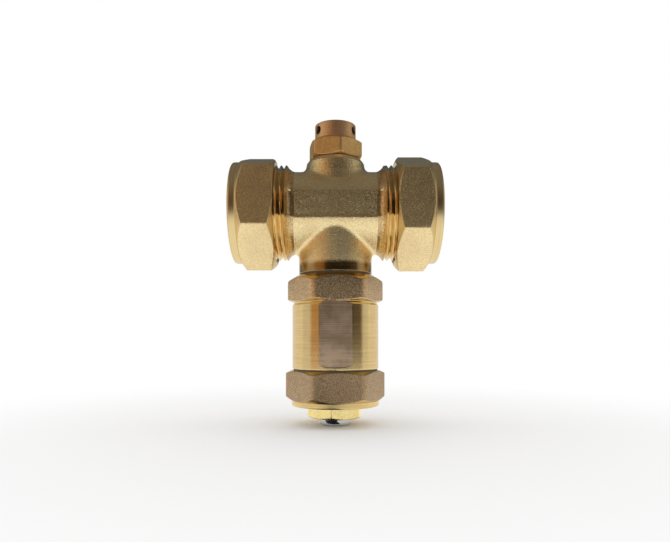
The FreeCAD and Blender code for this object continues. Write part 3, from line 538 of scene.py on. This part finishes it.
# shaping, all in mm
shaping = {
    "cornerShare": 0.48, "cornerSteps": 7,       # how far a rounding may run along its edges, and its steps
    "turnedMerge": 0.002, "milledMerge": 0.003,  # points nearer than this become one
    "rimReach": 0.9, "near": 0.001,              # which points of a blank are its rim
    "gather": 0.6, "flatFade": 0.12,             # columns drawn to the corners, and the fade beside a flat
}


def softOutline(corners, spacing, closed=True):
    # corners are (radius, height, rounding) in mm, and the run after a corner is split no longer than
    # spacing, or than the corner's own fourth value
    count = len(corners)
    spots = [Vector((c[0], 0, c[1])) for c in corners]
    line = []
    for i, spot in enumerate(spots):
        atEnd = not closed and i in (0, count - 1)
        soft = corners[i][2]
        gap = corners[i][3] if len(corners[i]) > 3 else spacing
        if soft == 0 or atEnd:
            line.append((spot, gap))
            continue
        back = spots[i - 1] - spot
        ahead = spots[(i + 1) % count] - spot
        bend = back.angle(ahead)
        share = shaping["cornerShare"]
        reach = min(soft / tan(bend / 2), share * back.length, share * ahead.length)
        start = spot + back.normalized() * reach
        end = spot + ahead.normalized() * reach
        steps = shaping["cornerSteps"]
        for k in range(steps + 1):
            t = k / steps
            line.append((start * (1 - t) ** 2 + spot * 2 * t * (1 - t) + end * t * t, gap))
    split = []
    for i, (spot, gap) in enumerate(line):
        split.append(spot)
        if i + 1 == len(line) and not closed:
            break
        after = line[(i + 1) % len(line)][0]
        parts = int((after - spot).length / gap) + 1
        split += [spot.lerp(after, k / parts) for k in range(1, parts)]
    return split


def inSteadyOrder(bm):
    # spin leaves its faces in an order that changes from run to run, so they are laid down again in one order
    bm.verts.index_update()
    rings = []
    for face in bm.faces:
        ring = [v.index for v in face.verts]
        first = ring.index(min(ring))
        rings.append(ring[first:] + ring[:first])
    steady = bmesh.new()
    verts = [steady.verts.new(v.co) for v in bm.verts]
    for ring in sorted(rings):
        steady.faces.new([verts[i] for i in ring])
    bm.free()
    return steady


def turnedSolid(corners, spacing, steps, closed=True):
    # spins the outline once round Z
    bm = bmesh.new()
    verts = [bm.verts.new(spot) for spot in softOutline(corners, spacing, closed)]
    edges = [bm.edges.new((a, b)) for a, b in zip(verts, verts[1:])]
    if closed:
        edges.append(bm.edges.new((verts[-1], verts[0])))
    bmesh.ops.spin(bm, geom=verts + edges, cent=(0, 0, 0), axis=(0, 0, 1), angle=2 * pi, steps=steps,
                   use_merge=True)
    bmesh.ops.remove_doubles(bm, verts=bm.verts, dist=shaping["turnedMerge"])
    bmesh.ops.recalc_face_normals(bm, faces=bm.faces)
    return inSteadyOrder(bm)


def easedMin(a, b, ease):
    # the lower of two values with a rounded change from one to the other, and how near that change is
    near = max(ease - abs(a - b), 0.0) / ease
    return min(a, b) - near * near * ease / 4, near


def hexagonReach(angle, across, cornerEase):
    # distance from the axis to a hexagon with a corner at angle 0, its corners a little rounded
    sixth = pi / 3
    fromCorner = (angle + sixth / 2) % sixth - sixth / 2
    first = across / 2 / cos(fromCorner - sixth / 2)
    second = across / 2 / cos(fromCorner + sixth / 2)
    return easedMin(first, second, cornerEase)


def millHexagon(bm, across, low, high, cornerEase, rimEase):
    # brings the turned blank in to six flats between two heights, and marks turned and worn faces
    turnedMask = bm.verts.layers.float.new("turned")
    edgeMask = bm.verts.layers.float.new("edge")
    sixth = pi / 3
    for v in bm.verts:
        reach = sqrt(v.co.x ** 2 + v.co.y ** 2)
        angle = atan2(v.co.y, v.co.x)
        fromCorner = (angle + sixth / 2) % sixth - sixth / 2
        pull = shaping["gather"] * sixth / (2 * pi)
        angle -= pull * sin(2 * pi * fromCorner / sixth)
        v.co.x, v.co.y = reach * cos(angle), reach * sin(angle)
        v[turnedMask] = 1.0
        atHeight = low - shaping["near"] <= v.co.z <= high + shaping["near"]
        if atHeight and reach > across / 2 * shaping["rimReach"]:
            hexagon, corner = hexagonReach(angle, across, cornerEase)
            milled, rim = easedMin(reach, hexagon, rimEase)
            v.co.x *= milled / reach
            v.co.y *= milled / reach
            v[turnedMask] = min(max((hexagon - reach) / shaping["flatFade"] + 0.5, 0.0), 1.0)
            v[edgeMask] = max(corner, rim) if reach > hexagon - rimEase else 0.0
    bmesh.ops.remove_doubles(bm, verts=bm.verts, dist=shaping["milledMerge"])
    bmesh.ops.recalc_face_normals(bm, faces=bm.faces)


def markAll(bm, turned):
    turnedMask = bm.verts.layers.float.new("turned")
    bm.verts.layers.float.new("edge")
    for v in bm.verts:
        v[turnedMask] = turned


def finishPiece(bm, name, place, turn, body, material, replaces, sharp=40):
    # brings a piece from mm about its own axis to its place on the valve, and hands it to its body
    bmesh.ops.transform(bm, matrix=Matrix.Translation(place) @ turn @ Matrix.Scale(mm, 4), verts=bm.verts)
    piece = linkObject(meshFrom(bm, name), name)
    piece.data.shade_smooth()
    piece.data.set_sharp_from_angle(angle=radians(sharp))
    piece.data.materials.append(material)
    if body:
        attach(piece, body)
    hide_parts(*replaces)
    print(name, len(piece.data.polygons), "faces")
    return piece


def upright(degrees):
    return Matrix.Rotation(radians(degrees), 4, "Z")


def lowest(node):
    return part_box(node)[0].z


def highest(node):
    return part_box(node)[1].z


# compression nuts: datum on the inner face, Z out along the pipe
nut = {
    "across": 36.0, "hexLong": 12.3, "long": 14.9, "faceRadius": 17.8, "faceBevel": 1.65, "backBevel": 2.3,
    "collarRadius": 17.5, "collarRound": 1.0, "boreRadius": 16.55, "mouth": 0.8, "holeRadius": 14.25,
    "coneEnd": 1.6, "cornerEase": 0.4, "rimEase": 0.22, "blankEase": 0.05, "turns": (9.7, -5.7), "steps": 192,
    "spacing": 0.4,
}


def compressionNut(n, side):
    blank = n["across"] / sqrt(3) - n["blankEase"]
    coneTop = n["long"] - n["coneEnd"]
    bm = turnedSolid([
        (n["boreRadius"] + n["mouth"], 0, 0.05),
        (n["faceRadius"], 0, 0.15),
        (blank, n["faceBevel"], 0.2),
        (blank, n["hexLong"] - n["backBevel"], 0.3),
        (n["collarRadius"], n["hexLong"], 0.35),
        (n["collarRadius"], n["long"], n["collarRound"]),
        (n["holeRadius"], n["long"], 0.3),
        (n["holeRadius"], coneTop, 0.1),
        (n["boreRadius"], coneTop - (n["boreRadius"] - n["holeRadius"]), 0.2),
        (n["boreRadius"], n["mouth"], 0.05),
    ], n["spacing"], n["steps"])
    millHexagon(bm, n["across"], 0.0, n["hexLong"], n["cornerEase"], n["rimEase"])
    name = "left_nut" if side < 0 else "right_nut"
    near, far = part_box(name)
    inner = far.x if side < 0 else near.x
    outwards = Matrix.Rotation(radians(90 * side), 4, "Y")
    turn = outwards @ upright(n["turns"][0] if side < 0 else n["turns"][1])
    finishPiece(bm, name.replace("_", "") + "Forging", (inner, 0, runZ), turn, name, nutBrass,
                [name])


compressionNut(nut, -1)
compressionNut(nut, 1)


# tee body: the forging is the CAD solid softened, and its threaded ends are left crisp
tee = {
    "middle": 15.3, "voxel": 0.3, "smoothing": 3, "smoothShare": 0.5, "seam": 0.001, "onPlane": 0.00001,
    "boreRadius": 12.4, "branchRadius": 10.75, "bossHole": 6.9, "sharp": 180,
    "neckShadeTop": -17.2, "neckShadeFade": 1.6, "neckEnd": -21.4, "neckRadius": 12.75, "neckUp": 0.8, "neckIn": 0.7,
    "flatIn": 13.27, "flatHigh": 5.2, "flatLow": -3.4, "flatUnder": 0.27, "ledgeOut": 0.03, "ledgeUp": 0.15,
    "snap": 0.25,
}


def copyOfNode(name):
    bm = bmesh.new()
    bm.from_mesh(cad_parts[name].data)
    bmesh.ops.remove_doubles(bm, verts=bm.verts, dist=tee["seam"] * mm)
    bmesh.ops.scale(bm, vec=(1 / mm, 1 / mm, 1 / mm), verts=bm.verts)
    bmesh.ops.translate(bm, vec=(0, 0, -runZ / mm), verts=bm.verts)
    return bm


def cutAway(bm, place, normal):
    # cuts off what lies beyond the plane and closes the ring that is left
    cut = bmesh.ops.bisect_plane(bm, geom=bm.verts[:] + bm.edges[:] + bm.faces[:], dist=tee["onPlane"],
                                 plane_co=place, plane_no=normal, clear_outer=True)
    rim = [e for e in cut["geom_cut"] if isinstance(e, bmesh.types.BMEdge)]
    bmesh.ops.bridge_loops(bm, edges=rim)
    bmesh.ops.recalc_face_normals(bm, faces=bm.faces)


def teeForging(t):
    bm = copyOfNode("tee_body")
    cutAway(bm, (t["middle"], 0, 0), (1, 0, 0))
    cutAway(bm, (-t["middle"], 0, 0), (-1, 0, 0))
    rough = linkObject(meshFrom(bm, "teeRough"), "teeRough")
    remesh = rough.modifiers.new("even", "REMESH")
    remesh.mode = "VOXEL"
    remesh.voxel_size = t["voxel"]
    depsgraph = bpy.context.evaluated_depsgraph_get()
    even = bpy.data.meshes.new_from_object(rough.evaluated_get(depsgraph))
    bpy.data.objects.remove(rough)
    bm = bmesh.new()
    bm.from_mesh(even)
    bpy.data.meshes.remove(even)
    for turn in range(t["smoothing"]):
        bmesh.ops.smooth_vert(bm, verts=bm.verts, factor=t["smoothShare"], use_axis_x=True, use_axis_y=True,
                              use_axis_z=True)
    for v in bm.verts:  # the flats, their lower ledge and the neck's end come back to their true places
        x, y, z = v.co
        atLedge = t["flatLow"] - t["snap"] < z < t["flatLow"] + t["ledgeUp"]
        if atLedge and abs(y) > t["flatIn"] + t["ledgeOut"]:
            v.co.z = t["flatLow"]
        elif t["flatLow"] < z < t["flatHigh"] and abs(y) > t["flatIn"] - t["flatUnder"]:
            v.co.y = t["flatIn"] if y > 0 else -t["flatIn"]
        fromUpright = sqrt(x * x + y * y)
        if z < t["neckEnd"] + t["neckUp"] and fromUpright > t["neckRadius"] - t["neckIn"]:
            v.co.x *= t["neckRadius"] / fromUpright
            v.co.y *= t["neckRadius"] / fromUpright
            if z < t["neckEnd"] + t["snap"]:
                v.co.z = t["neckEnd"]
    markAll(bm, 0.0)
    turned = bm.verts.layers.float["turned"]
    # bores, the branch and the neck's lower end take the turned finish: smoother, and painted dark as shade
    for v in bm.verts:
        fromRun = sqrt(v.co.y ** 2 + v.co.z ** 2)
        fromUpright = sqrt(v.co.x ** 2 + v.co.y ** 2)
        inBranch = fromUpright < t["branchRadius"] and v.co.z < 0
        if fromRun < t["boreRadius"] or inBranch or fromUpright < t["bossHole"]:
            v[turned] = 1.0
        elif v.co.z < t["neckShadeTop"]:
            v[turned] = min((t["neckShadeTop"] - v.co.z) / t["neckShadeFade"], 1.0)
    finishPiece(bm, "teeForging", (0, 0, runZ), upright(0), "valve", forgedBrass,
                ["tee_body"], t["sharp"])


# the screwed ends, Z outwards from the middle of the tee
screwed = {
    "start": 13.6, "inner": 15.3, "innerRadius": 13.0, "waterRadius": 12.0, "stop": 16.2,
    "socketRadius": 14.1, "end": 29.5, "mouth": 0.8, "mouthDeep": 1.4,
    "chamfer": 1.0, "crest": 16.5, "root": 15.4, "pitch": 1.814,
    "crestFlat": 0.08, "rootFlat": 0.08, "threadEase": 0.12, "paintedShadeFrom": 0.5,
    "threadFrom": 16.7, "runOut": 0.7, "turnedFade": 0.5, "firstCrest": (16.96, 16.49),
    "shoulder": ((16.5, 16.8, 0.1), (15.3, 15.95, 0.8), (14.5, 14.9, 1.2), (14.1, 13.6, 0.0)),
    "flatIn": 13.25, "flatHigh": 5.2, "flatLow": -3.4,
    "threadSpacing": 0.12, "spacing": 0.6, "steps": 240, "sharp": 50,
}


def cutThread(bm, t, firstCrest):
    # a right-hand thread, its depth growing from nothing beside the shoulder, with painted shade low in it
    paintedShade = bm.verts.layers.float.new("paintedShade")
    for v in bm.verts:
        reach = sqrt(v.co.x ** 2 + v.co.y ** 2)
        if reach < t["root"] or v.co.z < t["threadFrom"]:
            continue
        turn = (v.co.z - firstCrest) / t["pitch"] - atan2(v.co.y, v.co.x) / (2 * pi)
        rise = abs(2 * (turn - floor(turn)) - 1)
        rise = (rise - t["rootFlat"]) / (1 - t["rootFlat"] - t["crestFlat"])
        rise = easedMin(rise, 1.0, t["threadEase"])[0]
        rise = -easedMin(-rise, 0.0, t["threadEase"])[0]
        grown = min((v.co.z - t["threadFrom"]) / t["runOut"], 1.0)
        deep = (t["crest"] - t["root"]) * (1 - rise) * grown * grown * (3 - 2 * grown)
        sunk = deep / (t["crest"] - t["root"])
        # painted shade, strongest where the thread is cut deepest
        v[paintedShade] = min(max((sunk - t["paintedShadeFrom"]) / (1 - t["paintedShadeFrom"]), 0.0), 1.0)
        scale = min(reach, t["crest"] - deep) / reach
        v.co.x *= scale
        v.co.y *= scale


def screwedEnd(t, side):
    bm = turnedSolid([
        (t["waterRadius"], t["inner"], 0.0),
        (t["waterRadius"], t["stop"], 0.0),
        (t["socketRadius"], t["stop"], 0.0),
        (t["socketRadius"], t["end"] - t["mouthDeep"], 0.2),
        (t["socketRadius"] + t["mouth"], t["end"], 0.1),
        (t["crest"] - t["chamfer"], t["end"], 0.15, t["threadSpacing"]),
        (t["crest"], t["end"] - t["chamfer"], 0.15, t["threadSpacing"]),
        *t["shoulder"],
        (t["innerRadius"], t["start"], 0.0),
        (t["innerRadius"], t["inner"], 0.0),
    ], t["spacing"], t["steps"])
    crestFrom = t["shoulder"][0][1]
    for v in bm.verts:  # the shoulder runs out into the barrel's front and back flats
        reach = sqrt(v.co.x ** 2 + v.co.y ** 2)
        out = abs(v.co.y) - t["flatIn"]
        if v.co.z < crestFrom and out > 0 and t["flatLow"] < -side * v.co.x < t["flatHigh"]:
            risen = max(reach - t["shoulder"][-1][0], 0) / (t["crest"] - t["shoulder"][-1][0])
            v.co.y -= (out if v.co.y > 0 else -out) * (1 - risen)
    cutThread(bm, t, t["firstCrest"][0 if side < 0 else 1])
    bmesh.ops.recalc_face_normals(bm, faces=bm.faces)
    markAll(bm, 1.0)
    turned = bm.verts.layers.float["turned"]
    for v in bm.verts:
        v[turned] = min(max((v.co.z - t["threadFrom"]) / t["turnedFade"], 0.0), 1.0)
    outwards = Matrix.Rotation(radians(90 * side), 4, "Y")
    name = "leftScrewedEnd" if side < 0 else "rightScrewedEnd"
    finishPiece(bm, name, (0, 0, runZ), outwards, "valve", threadBrass, ["tee_body"],
                t["sharp"])


teeForging(tee)
screwedEnd(screwed, -1)
screwedEnd(screwed, 1)


# cartridge housing: datum on the hexagon's top face
housing = {
    "across": 30.0, "hexLong": 9.6, "faceRadius": 13.1, "faceBevel": 2.4, "footBevel": 1.05, "radius": 15.1,
    "groove": 0.45, "grooveLong": 0.5, "long": 32.75, "spigotLong": 8.2, "spigotRadius": 10.4,
    "boreRadius": 12.3, "topBore": 8.5, "topDeep": 6.6, "threadRadius": 13.0, "threadDeep": 8.2, "rim": 0.4,
    "blankEase": 0.3, "cornerEase": 2.2, "rimEase": 0.5, "faceGap": 0.02, "turn": 3.0, "steps": 240,
    "spacing": 0.45, "sharp": 15, "labelWide": 11.2, "labelDeep": 1.05, "labelLow": -29.9, "labelSag": 2.0,
    "labelCurve": 0.3, "labelFade": 2.5, "labelCore": 14.5, "labelStep": 0.04,
}


def millLabel(bm, h):
    # the flat for the marking, with a round lower end, on the front of the turned cylinder
    milled = bm.verts.layers.float.new("milled")
    half = h["labelWide"] / 2
    low = h["labelLow"]
    fadeTop, fadeLow = low + h["labelFade"], -(h["long"] - h["rim"])
    for v in bm.verts:
        x, y, z = v.co
        inFront = y <= 0 and abs(x) <= half and x * x + y * y >= h["labelCore"] ** 2
        if not inFront or z > -h["hexLong"] + shaping["near"] or z < fadeLow:
            continue
        sag = h["labelSag"] * (1 - (x / half) ** 2) ** h["labelCurve"]
        if z >= low - shaping["near"]:
            v.co.z -= sag * max(0.0, 1 - (z - low) / (fadeTop - low))
            if y < -(h["radius"] - h["labelDeep"]):
                v.co.y = -(h["radius"] - h["labelDeep"])
                v[milled] = 1.0
        else:
            v.co.z -= sag * (z - fadeLow) / (low - fadeLow)


def cutWith(bm, cutters, name):
    # takes the cutters out of the piece with an exact boolean
    base = linkObject(meshFrom(bm, name + "Blank"), name + "Blank")
    tools = []
    for cutter in cutters:
        tool = linkObject(meshFrom(cutter, name + "Cutter"), name + "Cutter")
        tools.append(tool)
        boolean = base.modifiers.new("cut", "BOOLEAN")
        boolean.operation = "DIFFERENCE"
        boolean.solver = "EXACT"
        boolean.object = tool
    depsgraph = bpy.context.evaluated_depsgraph_get()
    cut = bpy.data.meshes.new_from_object(base.evaluated_get(depsgraph))
    for thing in [base] + tools:
        bpy.data.objects.remove(thing)
    result = bmesh.new()
    result.from_mesh(cut)
    bpy.data.meshes.remove(cut)
    bmesh.ops.remove_doubles(result, verts=result.verts, dist=shaping["turnedMerge"])
    return result


def cartridgeHousing(h):
    blank = h["across"] / sqrt(3) - h["blankEase"]
    foot = -h["hexLong"]
    threadTop = -(h["long"] - h["threadDeep"])
    bm = turnedSolid([
        (h["topBore"], h["spigotLong"], 0.1),
        (h["spigotRadius"], h["spigotLong"], h["rim"]),
        (h["spigotRadius"], 0, 0.0),
        (h["faceRadius"], 0, 0.7),
        (blank, -h["faceBevel"], 1.6),
        (blank, foot + h["footBevel"], 0.3),
        (h["radius"] - h["groove"], foot, 0.08),
        (h["radius"] - h["groove"], foot - h["grooveLong"], 0.1),
        (h["radius"], foot - h["grooveLong"] - h["groove"], 0.1),
        (h["radius"], h["labelLow"], 0.0, 0.4),
        (h["radius"], h["labelLow"] - h["labelStep"], 0.0, 0.3),
        (h["radius"], -h["long"], h["rim"]),
        (h["threadRadius"], -h["long"], 0.1),
        (h["threadRadius"], threadTop, 0.0),
        (h["boreRadius"], threadTop, 0.0),
        (h["boreRadius"], -h["faceBevel"] - h["topDeep"], 0.0),
        (h["topBore"], -h["faceBevel"] - h["topDeep"], 0.0),
    ], h["spacing"], h["steps"])
    millHexagon(bm, h["across"], foot, -h["faceGap"], h["cornerEase"], h["rimEase"])
    bmesh.ops.rotate(bm, cent=(0, 0, 0), matrix=Matrix.Rotation(radians(h["turn"]), 3, "Z"), verts=bm.verts)
    millLabel(bm, h)
    top = highest("cartridge_housing") - h["spigotLong"] * mm
    finishPiece(bm, "cartridgeHousingTurned", (0, 0, top), upright(0), "valve", housingBrass,
                ["cartridge_housing"], h["sharp"])


cartridgeHousing(housing)


# drain cap: datum on the hexagon's top face
cap = {
    "across": 31.0, "hexLong": 10.5, "topBevel": 1.2, "lowBevel": 1.6, "collarRadius": 15.35,
    "collarLong": 1.8, "spigotLong": 7.1, "spigotRadius": 12.95, "boreRadius": 11.0, "floor": 5.5,
    "seatRadius": 7.5, "rim": 0.4,
    "blankEase": 0.05, "faceEase": 0.1, "faceGap": 0.02, "cornerEase": 1.8, "rimEase": 0.35, "turn": 3.5,
    "steps": 192, "spacing": 0.4,
}


def drainCap(c):
    blank = c["across"] / sqrt(3) - c["blankEase"]
    foot = -(c["hexLong"] + c["collarLong"])
    bm = turnedSolid([
        (c["boreRadius"], c["spigotLong"], 0.1),
        (c["spigotRadius"], c["spigotLong"], c["rim"]),
        (c["spigotRadius"], 0, 0.0),
        (c["across"] / 2 - c["faceEase"], 0, 0.15),
        (blank, -c["topBevel"], 0.4),
        (blank, -(c["hexLong"] - c["lowBevel"]), 0.4),
        (c["collarRadius"], -c["hexLong"], 0.15),
        (c["collarRadius"], foot, 0.5),
        (c["seatRadius"], foot, 0.1),
        (c["seatRadius"], -c["floor"], 0.0),
        (c["boreRadius"], -c["floor"], 0.2),
    ], c["spacing"], c["steps"])
    millHexagon(bm, c["across"], -c["hexLong"], -c["faceGap"], c["cornerEase"], c["rimEase"])
    top = highest("drain_cap") - c["spigotLong"] * mm
    finishPiece(bm, "drainCapForging", (0, 0, top), upright(c["turn"]), "valve", capBrass,
                ["drain_cap"])


drainCap(cap)


# drain seat: datum on its hexagon's top face
seat = {
    "across": 18.0, "hexLong": 4.3, "bevel": 0.8, "spigotRadius": 7.45, "spigotLong": 7.2,
    "nozzleRadius": 5.4, "nozzleLong": 3.7, "boreRadius": 4.4, "tipRadius": 5.6, "tipIn": 1.8,
    "ringLow": 3.8, "ringHigh": 5.4,
    "ringFloor": 5.95, "rim": 0.4, "blankEase": 0.05, "cornerEase": 0.15, "rimEase": 0.15, "turn": 21.7,
    "steps": 144, "spacing": 0.3,
}


def drainSeat(s):
    blank = s["across"] / sqrt(3) - s["blankEase"]
    top = s["spigotLong"] + s["nozzleLong"]
    bm = turnedSolid([
        (s["tipRadius"], -s["hexLong"], 0.08),
        (s["across"] / 2 - s["rim"], -s["hexLong"], 0.25),
        (blank, -(s["hexLong"] - s["bevel"]), 0.2),
        (blank, 0, 0.08),
        (s["spigotRadius"], 0, 0.0),
        (s["spigotRadius"], s["ringLow"], 0.0),
        (s["ringFloor"], s["ringLow"], 0.0),
        (s["ringFloor"], s["ringHigh"], 0.0),
        (s["spigotRadius"], s["ringHigh"], 0.0),
        (s["spigotRadius"], s["spigotLong"], 0.2),
        (s["nozzleRadius"], s["spigotLong"], 0.1),
        (s["nozzleRadius"], top, 0.1),
        (s["boreRadius"], top, 0.1),
        (s["boreRadius"], s["tipIn"], 0.0),
        (s["tipRadius"], s["tipIn"], 0.0),
    ], s["spacing"], s["steps"])
    millHexagon(bm, s["across"], -s["hexLong"], 0.0, s["cornerEase"], s["rimEase"])
    datum = highest("drain_seat") - top * mm
    finishPiece(bm, "drainSeatTurned", (0, 0, datum), upright(s["turn"]), "valve",
                yellowBrass, ["drain_seat"])


drainSeat(seat)


# drain tip
tip = {"radius": 5.6, "wall": 0.9, "long": 8.6, "round": 0.8, "steps": 96, "spacing": 0.5}


def drainTip(t):
    inner = t["radius"] - t["wall"]
    bm = turnedSolid([
        (inner, 0, 0.15),
        (t["radius"], 0, t["round"]),
        (t["radius"], t["long"], 0.0),
        (inner, t["long"], 0.0),
    ], t["spacing"], t["steps"])
    markAll(bm, 1.0)
    finishPiece(bm, "drainTipTube", (0, 0, lowest("drain_tip")), upright(0), "valve",
                polishedSteel, ["drain_tip"])


drainTip(tip)


# vacuum breaker body: datum under the hexagon
vent = {
    "across": 17.0, "hexLong": 6.15, "topRadius": 8.2, "topBevel": 0.9, "lowRadius": 8.4, "lowBevel": 0.8,
    "spigotRadius": 6.45, "spigotLong": 6.6, "boreRadius": 4.6, "seatUp": 1.5, "seatThick": 1.0,
    "holeRadius": 2.5, "pocketRadius": 6.0, "rim": 0.4, "blankEase": 0.05, "cornerEase": 0.5,
    "rimEase": 0.12, "turn": -19.0,
    "steps": 144, "spacing": 0.3,
}


def ventBody(v):
    blank = v["across"] / sqrt(3) - v["blankEase"]
    webTop = v["seatUp"] + v["seatThick"]
    bm = turnedSolid([
        (v["boreRadius"], -v["spigotLong"], 0.1),
        (v["spigotRadius"], -v["spigotLong"], v["rim"]),
        (v["spigotRadius"], 0, 0.0),
        (v["lowRadius"], 0, 0.15),
        (blank, v["lowBevel"], 0.25),
        (blank, v["hexLong"] - v["topBevel"], 0.3),
        (v["topRadius"], v["hexLong"], 0.2),
        (v["pocketRadius"], v["hexLong"], 0.1),
        (v["pocketRadius"], webTop, 0.0),
        (v["holeRadius"], webTop, 0.1),
        (v["holeRadius"], v["seatUp"], 0.1),
        (v["boreRadius"], v["seatUp"], 0.0),
    ], v["spacing"], v["steps"])
    millHexagon(bm, v["across"], 0.0, v["hexLong"], v["cornerEase"], v["rimEase"])
    datum = highest("vent_body") - v["hexLong"] * mm
    finishPiece(bm, "ventBodyTurned", (0, 0, datum), upright(v["turn"]), "valve", bronzeBrass,
                ["vent_body"])


ventBody(vent)


# vacuum breaker bonnet: datum on the body's top face
bonnet = {
    "radius": 7.15, "high": 5.85, "roof": 1.2, "wall": 2.0, "spigotLong": 2.6, "spigotRadius": 5.95,
    "edge": 0.45, "groove": 0.35, "holeRadius": 1.45, "holeUp": 3.3, "holes": 3, "holeOut": 1.0,
    "holeSteps": 32,
    "paintedShadeOut": 0.3, "paintedShadeUp": 0.1, "turn": 3.0, "steps": 128, "spacing": 0.35, "sharp": 35,
}


def airHole(b, angle):
    bm = bmesh.new()
    bmesh.ops.create_cone(bm, cap_ends=True, segments=b["holeSteps"], radius1=b["holeRadius"],
                          radius2=b["holeRadius"], depth=b["radius"] * 2)
    bmesh.ops.rotate(bm, cent=(0, 0, 0), matrix=Matrix.Rotation(radians(90), 3, "X"), verts=bm.verts)
    bmesh.ops.translate(bm, vec=(0, b["radius"] + b["holeOut"], b["holeUp"]), verts=bm.verts)
    bmesh.ops.rotate(bm, cent=(0, 0, 0), matrix=Matrix.Rotation(angle, 3, "Z"), verts=bm.verts)
    return bm


def ventBonnet(b):
    inner = b["radius"] - b["wall"]
    under = b["high"] - b["roof"]
    bm = turnedSolid([
        (0.0, under, 0.0),
        (inner, under, 0.3),
        (inner, -b["spigotLong"], 0.1),
        (b["spigotRadius"], -b["spigotLong"], 0.2),
        (b["spigotRadius"], 0, 0.0),
        (b["radius"] - b["groove"], 0, 0.1),
        (b["radius"] - b["groove"], b["groove"], 0.1),
        (b["radius"], 2 * b["groove"], 0.1),
        (b["radius"], b["high"], b["edge"]),
        (0.0, b["high"], 0.0),
    ], b["spacing"], b["steps"], closed=False)
    bm = cutWith(bm, [airHole(b, 2 * pi * k / b["holes"]) for k in range(b["holes"])], "bonnet")
    markAll(bm, 1.0)
    paintedShade = bm.verts.layers.float.new("paintedShade")
    for v in bm.verts:  # painted shade on the inside, dark as seen through the holes
        if sqrt(v.co.x ** 2 + v.co.y ** 2) < inner + b["paintedShadeOut"] and v.co.z < under + b["paintedShadeUp"]:
            v[paintedShade] = 1.0
    datum = highest("vent_bonnet") - b["high"] * mm
    finishPiece(bm, "ventBonnetTurned", (0, 0, datum), upright(b["turn"]), "valve", bronzeBrass,
                ["vent_bonnet"], b["sharp"])


ventBonnet(bonnet)


# coil springs: each stands still at one end and follows the part that it pushes at the other
springs = {
    "coils": (                     # piece, CAD node, the part that it pushes, whether that is below it
        ("loadSpringCoil", "load_spring", "thermostat", True),
        ("liftSpringCoil", "lift_spring", "shutter", False),
        ("ventSpringCoil", "vent_spring", "vent_disc", False),
    ),
    "endCoil": 0.5,
}


def coilSpring(name, node, pushed, pushedBelow, endCoil):
    piece = finishPiece(copyOfNode(node), name, (0, 0, runZ), upright(0), None, springWire,
                        [node])
    low, high = lowest(node) + endCoil * mm, highest(node) - endCoil * mm
    still, moving = (high, low) if pushedBelow else (low, high)
    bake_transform(piece, "valve", pushed, start=(0, 0, still), end=(0, 0, moving))


for coil in springs["coils"]:
    coilSpring(*coil, springs["endCoil"])


# the pieces whose CAD shape stays get their finishes here
keptFinishes = {
    "left_ring": ringBrass, "right_ring": ringBrass, "neck_gasket": gasketFibre, "cap_gasket": gasketFibre,
    "vent_gasket": gasketFibre, "seat_o_ring": blackRubber, "shutter": innerBrass,
    "shutter_seal": blackRubber, "thermostat_piston": polishedSteel, "thermostat_guide": innerBrass,
    "thermostat_bulb": copperFinish,
    "capsule_cage": polishedSteel, "vent_disc": innerBrass, "vent_disc_seal": blackRubber,
    "vent_retainer": polishedSteel,
}
for nodeName, finish in keptFinishes.items():
    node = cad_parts[nodeName]
    if not node.data.materials:
        node.data.materials.append(None)
    for slot in node.material_slots:
        slot.link = "OBJECT"
        slot.material = finish
print("kept nodes finished")

bpy.context.scene.view_settings.view_transform = "Standard"
